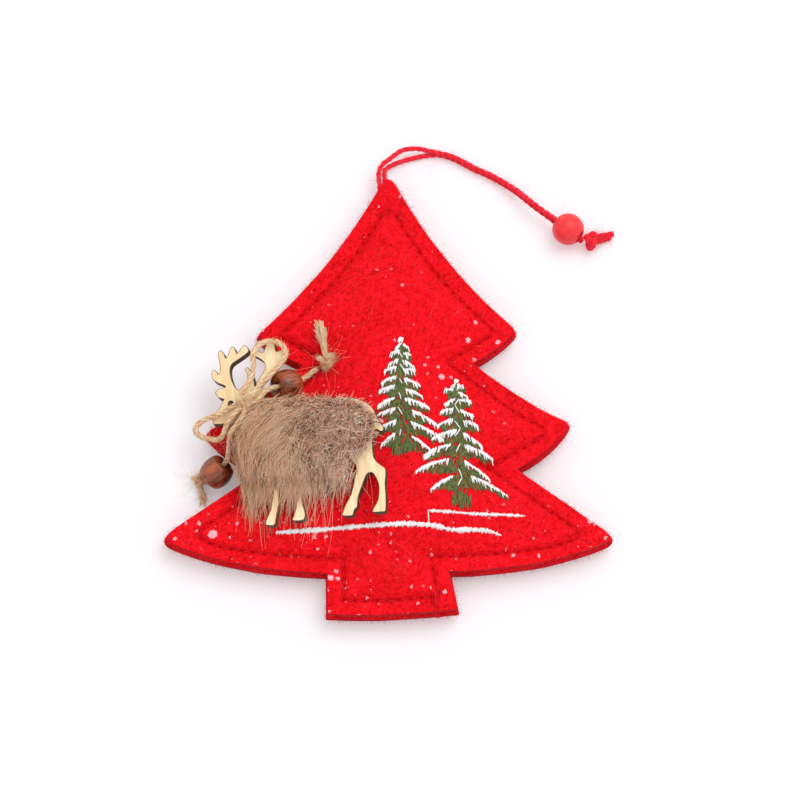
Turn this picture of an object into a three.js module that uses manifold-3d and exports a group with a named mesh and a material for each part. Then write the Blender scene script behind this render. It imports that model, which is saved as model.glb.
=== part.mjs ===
// A felt Christmas tree ornament lying on its back. Two felt trees are sewn together round a soft
// filling, with a stitched winter scene on the front. A plywood reindeer with a fur coat is glued on,
// with a jute bow and two wooden beads at its neck. A cord with a red bead hangs the tree up.
// Millimetres. +X is to the right, +Y towards the tree's tip and +Z up. The origin is on the table,
// under the middle of the tree.
import * as THREE from "three";
import { mergeVertices } from "three/addons/utils/BufferGeometryUtils.js";
import Module from "manifold-3d";

const wasm = await Module();
wasm.setup();

// Felt, filling and seam
const FELT = 2; // thickness of each felt
const CLEARANCE = 0.3; // between pieces that touch
const SEAM_Z = 5; // height of the seam between the two felts above the table
const SEAM_INSET = 4.3; // from the cut edge to the stitches
const GROOVE = 0.8; // half width of the channel that the stitches pull in
const PINCH = 0.8; // how much the stitches thin each felt
const EDGE_PARTING = 0.35; // how far each felt lifts off the other at its cut edge
const BACK_PROUD = 0.5; // the back felt shows past the front one by this much
const FRONT_CROWN = 9; // rise of the stuffed front above the seam
const SOFT_REACH = 24; // from the seam to where the stuffing is full
const FLAT_CUT = 0.5; // how deep the table flattens the crown of the back
const FILLING_INSET = 5.7; // from the cut edge to the filling

// The tree's outline, from the middle line outwards and from the trunk's foot upwards.
// Each corner has the bend, a curve's control point, of the edge that leads down from it.
const TREE_HEIGHT = 124.2;
const TIP_POINT = 2.3; // the tip's corner before it is rounded lies this far past the tree's height
const TIP_ROUND = 5;
const TIER_ROUND = 2;
const FOOT_TIER_ROUND = 4.5;
const ROUND_SHARE = 0.5; // of an edge up to its bend, the most that a rounded corner takes
const RIGHT = {
  tipBend: [15.1, 98.7],
  upperTip: [35.1, 80.5],
  upperBend: [30.4, 75.2],
  upperNotch: [23.4, 70.9],
  middleEdgeBend: [36.2, 60.2],
  middleTip: [49.4, 54],
  middleBend: [44.4, 46.1],
  middleNotch: [35, 40.9],
  footEdgeBend: [48.5, 31],
  footTip: [61.7, 21.6],
  footBend: [42, 13],
  trunkNotch: [16.6, 12.3],
  trunkBend: [17.5, 7],
  trunkFoot: [18.6, 1.8],
};
const LEFT = {
  tipBend: [15, 98.7],
  upperTip: [36, 79],
  upperBend: [30.9, 74],
  upperNotch: [23.6, 70.4],
  middleEdgeBend: [36, 59],
  middleTip: [49.6, 51.4],
  middleBend: [44.2, 44.6],
  middleNotch: [35.2, 39.9],
  footEdgeBend: [48.3, 31],
  footTip: [61.5, 21.4],
  footBend: [42, 12.7],
  trunkNotch: [16.3, 11.8],
  trunkBend: [16.2, 6],
  trunkFoot: [16.2, 0.4],
};
const FOOT_BEND = [-1, -0.6]; // bend of the trunk's foot, which is a little round
const COLUMN_SHARES = [0, 0.08, 0.2, 0.35, 0.5, 0.65, 0.8, 0.92, 1]; // across the tree

// Threads and stitched motifs. Each row of a fir has its height on the tree and its two ends.
const THREAD = 0.45;
const STITCHED_THICK = 0.5;
const LIFT = 0.65; // of stitched shapes off the bent felt under them
const FIR_COLUMNS = [0, 0.25, 0.5, 0.75, 1];
const TALL_FIR_ROWS = [
  [13.7, 3.1, 3.1],
  [11.6, 1.5, 5],
  [10.6, 2.3, 4.1],
  [8.4, 0.2, 6],
  [7.6, 1.4, 5],
  [5.3, -0.8, 7],
  [4.3, 0.6, 6],
  [1.7, -2.1, 8.5],
  [0.4, -0.7, 7.2],
  [-2.8, -3.2, 9.8],
  [-4.3, -1.7, 8.9],
  [-8, -3.5, 11.3],
  [-9.8, -1.8, 9.6],
  [-14, -3.6, 11.5],
  [-15.8, -2.2, 8.8],
  [-19.5, -3.4, 8.2],
  [-21.6, -1, 4.6],
];
const SMALL_FIR_ROWS = [
  [3, 18.5, 18.5],
  [0.5, 16.5, 20.6],
  [-0.6, 17.3, 19.7],
  [-2.9, 15.3, 21.7],
  [-4.2, 16.5, 20.5],
  [-6.6, 14.4, 22.8],
  [-8, 15.9, 21.6],
  [-11.2, 13.8, 23.4],
  [-12.8, 15.2, 22.2],
  [-17.2, 12.2, 24.6],
  [-19, 14, 23.6],
  [-22.9, 10.4, 28],
  [-24.6, 12.6, 25.6],
  [-28.6, 6.4, 28.6],
  [-30.2, 10, 26.6],
  [-32.2, 12, 31.6],
  [-33.7, 16.9, 25],
];
const SNOW_LONG = [
  [-30.1, -40.2],
  [-21, -39.7],
  [-13.2, -39.1],
  [-2.3, -38.7],
  [10.8, -38.3],
  [17.3, -39.4],
  [25.5, -39.6],
  [30.3, -40.8],
];
const SNOW_SHORT = [
  [10.7, -34.6],
  [17, -34.9],
  [24, -35.4],
  [30, -35.5],
  [36.8, -35.6],
];
const SNOW_LONG_WIDTH = 1.5;
const SNOW_SHORT_WIDTH = 0.9;

// Reindeer. Its outlines are in pixels of one picture, x to the right and y downwards.
const PLY = 3;
const DEER_PIXELS = { left: 212.5, foot: 528, wide: 174.1, tall: 184.7 };
const DEER_LENGTH = 48.2;
const DEER_HEIGHT = 52.1;
const DEER_SKEW = 0.0465; // the leaning board's right side looks this share of its length too high
const DEER_LEFT = -47.5; // of the nose's side of the board
const DEER_FOOT = -38.3; // of the lower edge of the board
const DEER_LEAN_LEFT = THREE.MathUtils.degToRad(10); // down to the left, off the crown
const DEER_LEAN_DOWN = THREE.MathUtils.degToRad(2); // down towards the tree's foot
const EYE_RADIUS = 0.6;
const EYE_PX = [232, 408];
const DEER_PX = {
  nose: [[213.5, 420], [218, 415.6], [220.9, 412.1], [225.1, 403.7]],
  leftEar: [[225.8, 403.7], [220.2, 402.3], [217.4, 399.5], [216.3, 396.7], [220.2, 393.2], [226.5, 391]],
  leftTines: [
    [215.6, 385.8], [212.5, 380], [213.2, 375], [216.3, 374.8], [219.5, 379], [220.5, 377],
    [220.5, 369.3], [219.1, 362], [218.8, 356.7], [221.6, 354.7], [224.6, 358], [226.5, 362.6],
    [229, 358.5], [231, 352], [234.5, 351.5], [237, 357], [237.8, 358], [238.5, 357.2],
    [243, 350.8], [246, 349.8], [249, 353], [248.6, 357],
  ],
  betweenAntlers: [[240, 363.5], [233, 368.5], [231, 374], [232, 382], [235, 389.5], [239.5, 394.3]],
  rightTines: [
    [242, 392.5], [247, 386.7], [248.3, 379.5], [245.6, 373.7], [248.5, 371.8], [251, 374.5],
    [254.5, 381.8], [256, 391], [257.5, 386], [258.4, 385.4], [264.4, 376.3], [266, 371.4],
    [264.4, 366.5], [260.2, 363], [254, 359.5], [252.5, 354.5], [256, 352.7], [263, 357],
    [266.5, 350], [268.5, 344], [273, 343.3], [275.5, 349], [277.3, 356], [282.6, 353.2],
    [284.4, 349.6], [287.2, 351.8], [287.2, 356], [286, 360.2], [282, 365], [277.7, 372],
    [272.8, 375.6], [268, 382], [262.3, 388.2], [258.4, 391],
  ],
  rightEar: [[264.4, 392.5], [267.6, 392.8], [268.2, 394.6], [266.5, 397.4], [260.2, 402.3], [256, 405.8]],
  back: [
    [262, 408], [275, 407], [300, 406.5], [320, 405.5], [330, 403.3], [341, 402], [349, 401.5],
    [355.4, 402.5], [363, 405], [369.4, 408.4], [374, 413.5], [376.4, 418.2],
  ],
  tail: [[380, 425], [383.5, 430.8], [384, 434], [381, 435.3], [377.5, 433.2], [375.5, 434]],
  farHindLeg: [
    [374, 440], [373, 446.3], [373.3, 453], [374.3, 460.3], [377, 464.5], [381, 468], [385.6, 471.5],
    [386.3, 478], [385.6, 486], [386.3, 495.4], [386.6, 505], [386.3, 512.2], [384, 514],
    [373.6, 514.3], [374.5, 510], [377.8, 503.8], [379.2, 496], [379.2, 488.4], [377, 482], [374, 477],
  ],
  nearHindLeg: [
    [371, 475.7], [367.5, 477.5], [365, 483], [361, 494], [359.2, 499], [358.6, 505], [358.2, 509.4],
    [355.5, 512], [354, 517.1], [351, 518.3], [343.5, 517.8], [344.5, 513], [347, 506.6], [351, 499],
    [353, 493], [354, 488.4], [355.5, 481], [356.8, 474.3], [356, 468],
  ],
  belly: [[350, 462], [335, 458], [318, 457], [308, 462]],
  farFrontLeg: [
    [307, 475], [305.5, 488], [303.5, 496], [303.5, 503.8], [305, 510], [307, 516.4], [306.5, 519],
    [305.6, 522], [301, 523.2], [294.4, 522.8], [295.5, 518], [298, 510], [299, 500], [299.3, 488.4],
    [293, 474], [288, 468],
  ],
  nearFrontLeg: [
    [282, 476], [281.5, 488], [280.8, 497], [280.3, 508], [279, 516], [276.8, 527], [272, 528],
    [267.7, 527], [269, 521], [272.5, 513], [274, 505], [274.7, 495], [275, 481.4], [273, 470],
    [266, 460],
  ],
  chest: [[252, 448], [243, 436], [236, 428]],
  jaw: [[233.5, 426.5], [223.7, 428.2], [216, 428.6], [214.5, 427.5]],
};

// Fur coat: a dome of pile on a smaller woven backing
const FUR_PX = [
  [266, 408], [300, 406], [335, 404], [360, 406], [372, 410], [378, 420], [374, 440], [368, 455],
  [358, 470], [352, 488], [346, 498], [330, 500], [320, 507], [305, 511], [290, 509], [278, 512],
  [268, 513], [256, 511], [248, 506], [243, 494], [242, 474], [239, 455], [240, 436],
];
const FUR_MIDDLE_PX = [300, 455];
const BACKING = 1;
const BACKING_SHARE = 0.8; // of the fur's outline
const FUR_RINGS = [1, 0.9, 0.7, 0.4, 0.15];
const FUR_RIM = 1.2;
const FUR_RISE = 3.8;

// Glue: round dabs between the felt and the board
const GLUE_RADIUS = 3.5;
const GLUE_RINGS = [1, 0.5];
const GLUE_SIDES = 12;
const SHOULDER_GLUE = [-22, -14];
const RUMP_GLUE = [-8, -15];

// Cords. Each route is a list of points along the cord's middle.
const CORD_SIDES = 8;
const JUTE_RADIUS = 0.75;
const WOOL_RADIUS = 0.65;
const NECK_FROM_PX = [229, 431];
const NECK_TO_PX = [263.5, 404.5];
const NECK_TURN = 0.9; // how far the wrap's rounded ends reach past its corners
const NECK_SEGMENTS = 28;
const BOW_KNOT = { at: [-38.5, -6.15, 17.85], radii: [2.2, 2, 1.5] };
const LEFT_LOOP = [
  [-41.1, -6.2, 17.3], [-43, -7.2, 16.1], [-45.4, -8.1, 14.8], [-47.9, -8.7, 13.7], [-50.2, -9.4, 12.3],
  [-51.8, -10.5, 11.2], [-52, -11.9, 10.4], [-50.8, -13, 9.8], [-48.7, -13.6, 9.5], [-46.4, -13.9, 9.9],
  [-44.8, -13.5, 12.6], [-43.2, -10.8, 16.9], [-40.8, -8.2, 17.7],
];
const RIGHT_LOOP = [
  [-39.5, -3.4, 17.8], [-38.2, -0.7, 17.5], [-36.8, 2.4, 17.1], [-36.6, 5.4, 17.1], [-36.6, 8.2, 17.3],
  [-35.3, 10.3, 17.6], [-32.9, 11.4, 17.8], [-30.3, 11.2, 18], [-28.2, 9.5, 18],
  [-28, 7.1, 18], [-29.6, 4.6, 18], [-31.6, 2.3, 18], [-33.8, -0.2, 18.1],
  [-35.4, -2, 18.2], [-37, -3.3, 18.2],
];
const LEFT_TAIL = [
  [-38.7, -8.9, 18.1], [-39.9, -10.6, 18], [-41.4, -12.4, 16.7], [-42.7, -13.8, 14.6],
  [-43.1, -15.8, 11.9], [-43.3, -17.5, 9.9], [-43.7, -19, 8], [-44.53, -19.79, 6.4],
  [-46.7, -21.65, 4.75], [-49.26, -23.85, 2.8],
];
const RIGHT_TAIL = [
  [-35.7, -5.6, 17.9], [-34.5, -4.1, 17.9], [-33.1, -2.4, 17.3], [-31.8, -1.3, 16.2], [-30.08, -0.29, 14.3],
  [-27.6, 0.8, 12.4], [-24.9, 2.0, 10.32], [-23.8, 3.2, 9.2], [-22.2, 4.4, 8.7], [-20.4, 5.8, 8.9],
  [-19.4, 6.3, 9.3],
];
const LEFT_END_KNOT = { at: [-51.5, -23.2, 1.9], radii: [1.7, 1.7, 1.6] };
const LEFT_FRAYED_END = [[-51.4, -23.8, 1.9], [-51, -25.4, 1.6], [-50.3, -28.7, 1.4]];
const RIGHT_END_KNOT = { at: [-16.9, 8, 10.6], radii: [2.1, 1.9, 1.8] };
const RIGHT_FRAYED_END = [[-17, 9, 10.6], [-17.7, 12.6, 10.9], [-18.7, 17.6, 12]];
const FRAYED_RADII = [0.75, 0.9, 1.25];

// Wooden beads: half length, radii and bore, and where each one is and points
const BARREL = { half: 3.3, belly: 4.25, end: 3.4, bore: 1.3 };
const BARREL_MIDDLE_SHARE = 0.55; // of the half length, where the barrel is still nearly full
const BARREL_MIDDLE_RADIUS = 4.08;
const LEFT_BEAD = { at: [-46.7, -21.65, 4.75], axis: [0.658, 0.563, 0.5] };
const RIGHT_BEAD = { at: [-27.6, 0.8, 12.4], axis: [0.75, 0.33, -0.574] };
const RED_BEAD = { at: [49.6, 48.3, 4.5], axis: [0.793, -0.609, 0], radius: 4.4, bore: 1.85 };
const BEAD_SEGMENTS = 28;
const BALL_RINGS = 14;

// Hanger: the cord is sewn in at the tip and doubled from there to its knot
const ANCHOR_FROM = [-0.7, 52.5];
const ANCHOR_TO = [-1.95, 62.95];
const ANCHOR_WIDTH = 2.6;
const ANCHOR_THICK = 1.3;
const INNER_STRAND = [
  [-1.15, 63.6, 4.8], [-1.3, 64.6, 4.4], [-0.9, 66, 3.7], [0.4, 67.2, 2.9], [2, 68.2, 2.2],
  [4.2, 69.2, 1.4], [6.8, 70.1, 0.9], [9.1, 70.7, 0.8], [11.7, 71.1, 0.8], [14.2, 71.2, 0.8],
  [16.8, 70.5, 0.8], [19.5, 69.3, 0.8], [23.9, 66.8, 0.8], [29.2, 64.2, 0.9], [34.6, 60.3, 2],
  [37.6, 57.4, 3.2], [40.6, 54.65, 3.78], [45.4, 50.98, 3.78], [49.33, 47.94, 3.78], [53.45, 44.78, 3.75],
];
const OUTER_STRAND = [
  [-2.8, 63.6, 5.2], [-2.6, 65.3, 5.1], [-1.5, 67.3, 5], [0.4, 69, 4.5], [2.05, 70.5, 4.1],
  [3.9, 71.8, 3.7], [6.1, 72.5, 3.2], [8.3, 72.8, 2.8], [10.8, 72.55, 2.4], [13.2, 72.1, 2.3],
  [17.35, 71.2, 2.25], [20.05, 70, 2.25], [24.45, 67.5, 2.25], [29.75, 64.9, 2.35], [35.15, 61, 3.45],
  [38.15, 58.1, 4.65], [41.15, 55.36, 5.22], [45.95, 51.69, 5.22], [49.87, 48.66, 5.22], [53.9, 45.55, 5.1],
];
const END_KNOT = { at: [56, 45.45, 3.2], radii: [2, 2.6, 2.3] };
const KNOT_TAILS = [
  [[56.4, 46, 3], [58, 46.9, 2], [60, 47.7, 1.1], [62.9, 48.6, 0.8]],
  [[56.4, 45.2, 3], [58.2, 45.4, 1.8], [60.2, 45.9, 0.9], [62.2, 46.5, 0.8]],
];

const FELT_RED = 0xd8141c;

function material(color, roughness, metalness = 0) {
  return new THREE.MeshStandardMaterial({ color, roughness, metalness });
}

function piece(name, geometry, look, group) {
  const mesh = new THREE.Mesh(geometry, look);
  mesh.name = name;
  group.add(mesh);
  return mesh;
}

// A closed solid over a flat triangle mesh: low and high give its two faces' heights at each point.
function solidBetween(flat, low, high) {
  const count = flat.points.length;
  const position = [];
  for (const heightAt of [high, low]) {
    for (const point of flat.points) position.push(point.x, point.y, heightAt(point));
  }
  const index = [];
  const edges = new Set(flat.faces.flatMap(([a, b, c]) => [`${a}_${b}`, `${b}_${c}`, `${c}_${a}`]));
  for (const [a, b, c] of flat.faces) {
    index.push(a, b, c, count + a, count + c, count + b);
    for (const [p, q] of [[a, b], [b, c], [c, a]]) {
      if (!edges.has(`${q}_${p}`)) index.push(p, count + p, q, q, count + p, count + q);
    }
  }
  const geometry = new THREE.BufferGeometry();
  geometry.setAttribute("position", new THREE.Float32BufferAttribute(position, 3));
  return geometry.setIndex(index);
}

// Triangles over rows of points, wound anticlockwise where rows run upwards and points to the right.
function gridFaces(rows) {
  const faces = [];
  for (let i = 1; i < rows.length; i++) {
    for (let j = 1; j < rows[i].length; j++) {
      const [a, b, c, d] = [rows[i - 1][j - 1], rows[i - 1][j], rows[i][j], rows[i][j - 1]];
      for (const face of [[a, b, c], [a, c, d]]) {
        if (new Set(face).size === 3) faces.push(face);
      }
    }
  }
  return faces;
}

function toSolid(geometry) {
  const bare = geometry.index ? geometry.toNonIndexed() : geometry.clone();
  const plain = new THREE.BufferGeometry().setAttribute("position", bare.getAttribute("position"));
  const merged = mergeVertices(plain);
  return new wasm.Manifold(
    new wasm.Mesh({
      numProp: 3,
      vertProperties: merged.getAttribute("position").array,
      triVerts: new Uint32Array(merged.index.array),
    }),
  );
}

function fromSolid(solid) {
  const made = solid.getMesh();
  const geometry = new THREE.BufferGeometry();
  geometry.setAttribute("position", new THREE.BufferAttribute(made.vertProperties, 3));
  return geometry.setIndex(new THREE.BufferAttribute(made.triVerts, 1));
}

// The outline's corners and bends in turn, clockwise from the tip, and how many steps each edge has.
const SIDE_CORNERS = [
  ["tipBend", 0],
  ["upperTip", TIER_ROUND],
  ["upperBend", 0],
  ["upperNotch", 0],
  ["middleEdgeBend", 0],
  ["middleTip", TIER_ROUND],
  ["middleBend", 0],
  ["middleNotch", 0],
  ["footEdgeBend", 0],
  ["footTip", FOOT_TIER_ROUND],
  ["footBend", 0],
  ["trunkNotch", 0],
  ["trunkBend", 0],
  ["trunkFoot", 0],
];
const EDGE_STEPS = [5, 3, 4, 3, 4, 5, 2];
const SIDE_ROWS = 33; // points that EDGE_STEPS and the rounded corners give each side below the tip

function cornersAndBends() {
  const place = ([x, y], side) => new THREE.Vector2(side * x, y);
  const down = SIDE_CORNERS.map(([name, round]) => ({ at: place(RIGHT[name], 1), round }));
  const up = SIDE_CORNERS.map(([name, round]) => ({ at: place(LEFT[name], -1), round }));
  const tip = { at: place([0, TREE_HEIGHT + TIP_POINT], 1), round: TIP_ROUND };
  return [tip, ...down, { at: place(FOOT_BEND, 1), round: 0 }, ...up.reverse()];
}

// Shares along an edge where it has points. The trunk's foot has one at each column.
function edgeShares(steps) {
  if (!steps) return COLUMN_SHARES.slice(1, -1);
  return Array.from({ length: steps - 1 }, (_, k) => (k + 1) / steps);
}

// The outline moved inwards by inset, as points clockwise from the tip.
function outlineAt(inset) {
  const total = corners.length;
  const inward = (a, b) => new THREE.Vector2(b.y - a.y, a.x - b.x).normalize();
  const moved = corners.map(({ at, round }, i) => {
    const before = inward(corners[(i + total - 1) % total].at, at);
    const after = inward(at, corners[(i + 1) % total].at);
    const mitre = before.clone().add(after).multiplyScalar(inset / (1 + before.dot(after)));
    return { at: at.clone().add(mitre), round };
  });
  const rounded = (corner, towards) => {
    const way = towards.at.clone().sub(corner.at);
    return way.setLength(Math.min(corner.round, way.length() * ROUND_SHARE)).add(corner.at);
  };
  const steps = [...EDGE_STEPS, 0, ...EDGE_STEPS.toReversed()];
  const points = [];
  for (let i = 0; i < total; i += 2) {
    const [bendBefore, corner] = [moved[(i + total - 1) % total], moved[i]];
    const [bendAfter, next] = [moved[i + 1], moved[(i + 2) % total]];
    const start = rounded(corner, bendAfter);
    if (corner.round) {
      const end = rounded(corner, bendBefore);
      points.push(end, new THREE.QuadraticBezierCurve(end, corner.at, start).getPoint(0.5));
    }
    points.push(start);
    const edge = new THREE.QuadraticBezierCurve(start, bendAfter.at, rounded(next, bendAfter));
    for (const share of edgeShares(steps[i / 2])) points.push(edge.getPoint(share));
  }
  return [...points.slice(1), points[0]];
}

// The tree is moved so that the middle of its larger felt lies over the origin.
const corners = cornersAndBends();
const middle = new THREE.Box2().setFromPoints(outlineAt(-BACK_PROUD)).getCenter(new THREE.Vector2());
for (const { at } of corners) at.sub(middle);

// Depth inside the cut edge: the distance to the edges, rounded off where two of them are as near.
const SMOOTHING = 4;
const EDGE_POINTS = 6;
const edges = corners
  .filter((_, i) => i % 2 === 0)
  .map(({ at }, i) => {
    const [bend, next] = [corners[2 * i + 1], corners[(2 * i + 2) % corners.length]];
    return new THREE.QuadraticBezierCurve(at, bend.at, next.at).getPoints(EDGE_POINTS);
  });

function depthAt(point) {
  const near = new THREE.Vector3();
  const at = new THREE.Vector3(point.x, point.y, 0);
  const line = new THREE.Line3();
  let sum = 0;
  for (const edge of edges) {
    let nearest = Infinity;
    for (let i = 1; i < edge.length; i++) {
      line.start.set(edge[i - 1].x, edge[i - 1].y, 0);
      line.end.set(edge[i].x, edge[i].y, 0);
      nearest = Math.min(nearest, line.closestPointToPoint(at, true, near).distanceTo(at));
    }
    sum += nearest ** -SMOOTHING;
  }
  return sum ** (-1 / SMOOTHING);
}

function isInside(point, outline) {
  let inside = false;
  outline.forEach((a, i) => {
    const b = outline[(i + 1) % outline.length];
    const across = a.x + ((point.y - a.y) * (b.x - a.x)) / (b.y - a.y);
    if (a.y > point.y !== b.y > point.y && point.x < across) inside = !inside;
  });
  return inside;
}

// Heights of the felts' faces at a depth. The front is domed by the filling. The back is fuller at
// its middle, where the table cuts it flat.
const BACK_CROWN = SEAM_Z - CLEARANCE / 2 - FELT + FLAT_CUT;
const [FRONT_FULLNESS, BACK_FULLNESS] = [2, 3];

function liftAt(depth, crown, fullness) {
  const parting = EDGE_PARTING * Math.max(0, 1 - depth / (SEAM_INSET - GROOVE));
  const share = THREE.MathUtils.clamp((depth - SEAM_INSET) / SOFT_REACH, 0, 1);
  return CLEARANCE / 2 + parting + crown * (1 - (1 - share) ** fullness);
}

function thicknessAt(depth) {
  return FELT - PINCH * Math.max(0, 1 - Math.abs(depth - SEAM_INSET) / GROOVE);
}

const frontUnder = (depth) => SEAM_Z + liftAt(depth, FRONT_CROWN, FRONT_FULLNESS);
const frontTop = (depth) => frontUnder(depth) + thicknessAt(depth);
const backTop = (depth) => Math.max(FELT, SEAM_Z - liftAt(depth, BACK_CROWN, BACK_FULLNESS));
const backUnder = (depth) => backTop(depth) - thicknessAt(depth);
const feltTopAt = (point) => frontTop(depthAt(point));

// A flat mesh of the tree: rings at the insets, the last one filled by rows of points across it.
function treeFlat(insets, filled = true) {
  const points = [];
  const faces = [];
  for (const inset of insets) {
    for (const { x, y } of outlineAt(inset)) points.push({ x, y, depth: Math.max(0, inset) });
  }
  const ring = points.length / insets.length;
  for (let k = 1; k < insets.length; k++) {
    for (let j = 0; j < ring; j++) {
      const [a, b] = [(k - 1) * ring + j, (k - 1) * ring + ((j + 1) % ring)];
      faces.push([b, a, a + ring], [b, a + ring, b + ring]);
    }
  }
  if (!filled) return { points, faces };
  const last = (insets.length - 1) * ring;
  const columns = COLUMN_SHARES.length - 1;
  const rows = [];
  for (let j = SIDE_ROWS; j >= 0; j--) {
    const [left, right] = [last + ((ring - j) % ring), last + j];
    rows.push(
      COLUMN_SHARES.map((share, c) => {
        if (c === 0 || j === 0) return left;
        if (c === columns) return right;
        if (j === SIDE_ROWS) return right + columns - c;
        const at = new THREE.Vector2().lerpVectors(points[left], points[right], share);
        points.push({ x: at.x, y: at.y, depth: Math.max(insets.at(-1), depthAt(at)) });
        return points.length - 1;
      }),
    );
  }
  return { points, faces: [...faces, ...gridFaces(rows)] };
}

// A cord along a route, closed at both ends. Its radius is one number, or one for each point.
function cordAlong(route, radius) {
  const middles = route.map((point) => new THREE.Vector3(...point));
  const sideways = new THREE.Vector3(0, 0, 1);
  const position = [];
  const index = [];
  const last = route.length - 1;
  middles.forEach((middle, i) => {
    const along = middles[Math.min(i + 1, last)].clone().sub(middles[Math.max(i - 1, 0)]).normalize();
    sideways.addScaledVector(along, -sideways.dot(along)).normalize();
    const across = new THREE.Vector3().crossVectors(along, sideways);
    const size = Array.isArray(radius) ? radius[i] : radius;
    for (let k = 0; k < CORD_SIDES; k++) {
      const turn = (k / CORD_SIDES) * Math.PI * 2;
      const at = middle.clone().addScaledVector(sideways, size * Math.cos(turn));
      position.push(...at.addScaledVector(across, size * Math.sin(turn)));
      const [a, b] = [i * CORD_SIDES + k, i * CORD_SIDES + ((k + 1) % CORD_SIDES)];
      if (i < last) index.push(a, b, a + CORD_SIDES, b, b + CORD_SIDES, a + CORD_SIDES);
    }
  });
  for (let k = 2; k < CORD_SIDES; k++) {
    const end = last * CORD_SIDES;
    index.push(0, k, k - 1, end, end + k - 1, end + k);
  }
  const geometry = new THREE.BufferGeometry();
  geometry.setAttribute("position", new THREE.Float32BufferAttribute(position, 3));
  return geometry.setIndex(index);
}

// A body turned round the Y axis from a closed profile of [radius, height] points.
function turned(profile) {
  const points = [...profile, profile[0]].map((point) => new THREE.Vector2(...point));
  return new THREE.LatheGeometry(points, BEAD_SEGMENTS);
}

function ellipsoid({ at, radii }) {
  const ball = new THREE.SphereGeometry(1, BEAD_SEGMENTS / 2, BALL_RINGS / 2);
  return ball.scale(...radii).translate(...at);
}

// A knot and the cord ends that leave it, as one body.
function knotWithEnds(knot, routes, radius) {
  const parts = routes.map((route) => toSolid(cordAlong(route, radius)));
  return fromSolid(parts.reduce((sum, part) => sum.add(part), toSolid(ellipsoid(knot))));
}

// A thin stitched shape over the felt, from rows of points that run upwards, left to right.
function stitched(rows) {
  const points = rows.flat();
  let count = 0;
  const faces = gridFaces(rows.map((row) => row.map(() => count++)));
  const under = (point) => feltTopAt(point) + LIFT;
  return solidBetween({ points, faces }, under, (point) => under(point) + STITCHED_THICK);
}

function fir(rows) {
  const across = ([y, left, right]) =>
    FIR_COLUMNS.map((share) => new THREE.Vector2(left + (right - left) * share, y));
  const points = [];
  const indexRows = rows.toReversed().map((row) => {
    const single = row[1] === row[2];
    return across(row).map((point, i) => (single && i ? points.length : points.push(point)) - 1);
  });
  const under = (point) => feltTopAt(point) + LIFT;
  const top = (point) => under(point) + STITCHED_THICK;
  return solidBetween({ points, faces: gridFaces(indexRows) }, under, top);
}

function snowLine(points, width) {
  const offsets = [-width / 2, 0, width / 2];
  return stitched(offsets.map((up) => points.map(([x, y]) => new THREE.Vector2(x, y + up))));
}

// A flat mesh of rings that shrink towards a middle point by shares of the outline.
function ringsFlat(outline, centre, shares) {
  const points = [];
  const faces = [];
  for (const share of shares) {
    for (const at of outline) {
      const { x, y } = new THREE.Vector2().lerpVectors(centre, at, share);
      points.push({ x, y, share });
    }
  }
  points.push({ x: centre.x, y: centre.y, share: 0 });
  const ring = outline.length;
  for (let k = 0; k < shares.length; k++) {
    for (let j = 0; j < ring; j++) {
      const [a, b] = [k * ring + j, k * ring + ((j + 1) % ring)];
      if (k === shares.length - 1) faces.push([a, b, points.length - 1]);
      else faces.push([a, b, b + ring], [a, b + ring, a + ring]);
    }
  }
  return { points, faces };
}

// A point of the reindeer's picture on its board.
function onBoard([px, py]) {
  const x = ((px - DEER_PIXELS.left) * DEER_LENGTH) / DEER_PIXELS.wide;
  const y = ((DEER_PIXELS.foot - py) * DEER_HEIGHT) / DEER_PIXELS.tall - DEER_SKEW * x;
  return new THREE.Vector2(x, y);
}

const ornament = new THREE.Group();

// The two felts, the filling between them and the two threads of the seam
const feltLook = material(FELT_RED, 0.95);
const threadLook = material(0xc0121c, 0.7);
const INNER_RINGS = [SEAM_INSET - GROOVE, SEAM_INSET, SEAM_INSET + GROOVE, FILLING_INSET];
const frontPanel = solidBetween(
  treeFlat([0, ...INNER_RINGS]),
  ({ depth }) => frontUnder(depth),
  ({ depth }) => frontTop(depth),
);
const backPanel = solidBetween(
  treeFlat([-BACK_PROUD, ...INNER_RINGS]),
  ({ depth }) => backUnder(depth),
  ({ depth }) => backTop(depth),
);
const filling = solidBetween(
  treeFlat([FILLING_INSET]),
  ({ depth }) => backTop(depth) + CLEARANCE,
  ({ depth }) => frontUnder(depth) - CLEARANCE,
);
const threadLift = CLEARANCE + (PINCH * THREAD) / (2 * GROOVE); // clear of the groove's sides
const seamFlat = () => treeFlat([SEAM_INSET - THREAD / 2, SEAM_INSET + THREAD / 2], false);
const needleThread = solidBetween(
  seamFlat(),
  ({ depth }) => frontTop(depth) + threadLift,
  ({ depth }) => frontTop(depth) + threadLift + THREAD,
);
const bobbinThread = solidBetween(
  seamFlat(),
  ({ depth }) => backUnder(depth) - threadLift - THREAD,
  ({ depth }) => backUnder(depth) - threadLift,
);

// The cord's end between the felts, in a channel that both of them have
const anchorRoute = [ANCHOR_FROM, ANCHOR_TO].map((point) => new THREE.Vector2(...point));
const anchorWay = anchorRoute[1].clone().sub(anchorRoute[0]);
function anchorBar(growth) {
  const bar = new THREE.BoxGeometry(
    ANCHOR_WIDTH + 2 * growth,
    anchorWay.length() + 2 * growth,
    ANCHOR_THICK + 2 * growth,
  );
  bar.rotateZ(Math.atan2(anchorWay.y, anchorWay.x) - Math.PI / 2);
  const at = anchorRoute[0].clone().addScaledVector(anchorWay, 0.5);
  return bar.translate(at.x, at.y, SEAM_Z);
}
const channel = toSolid(anchorBar(CLEARANCE));
const withChannel = (panel) => fromSolid(toSolid(panel).subtract(channel));

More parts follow.
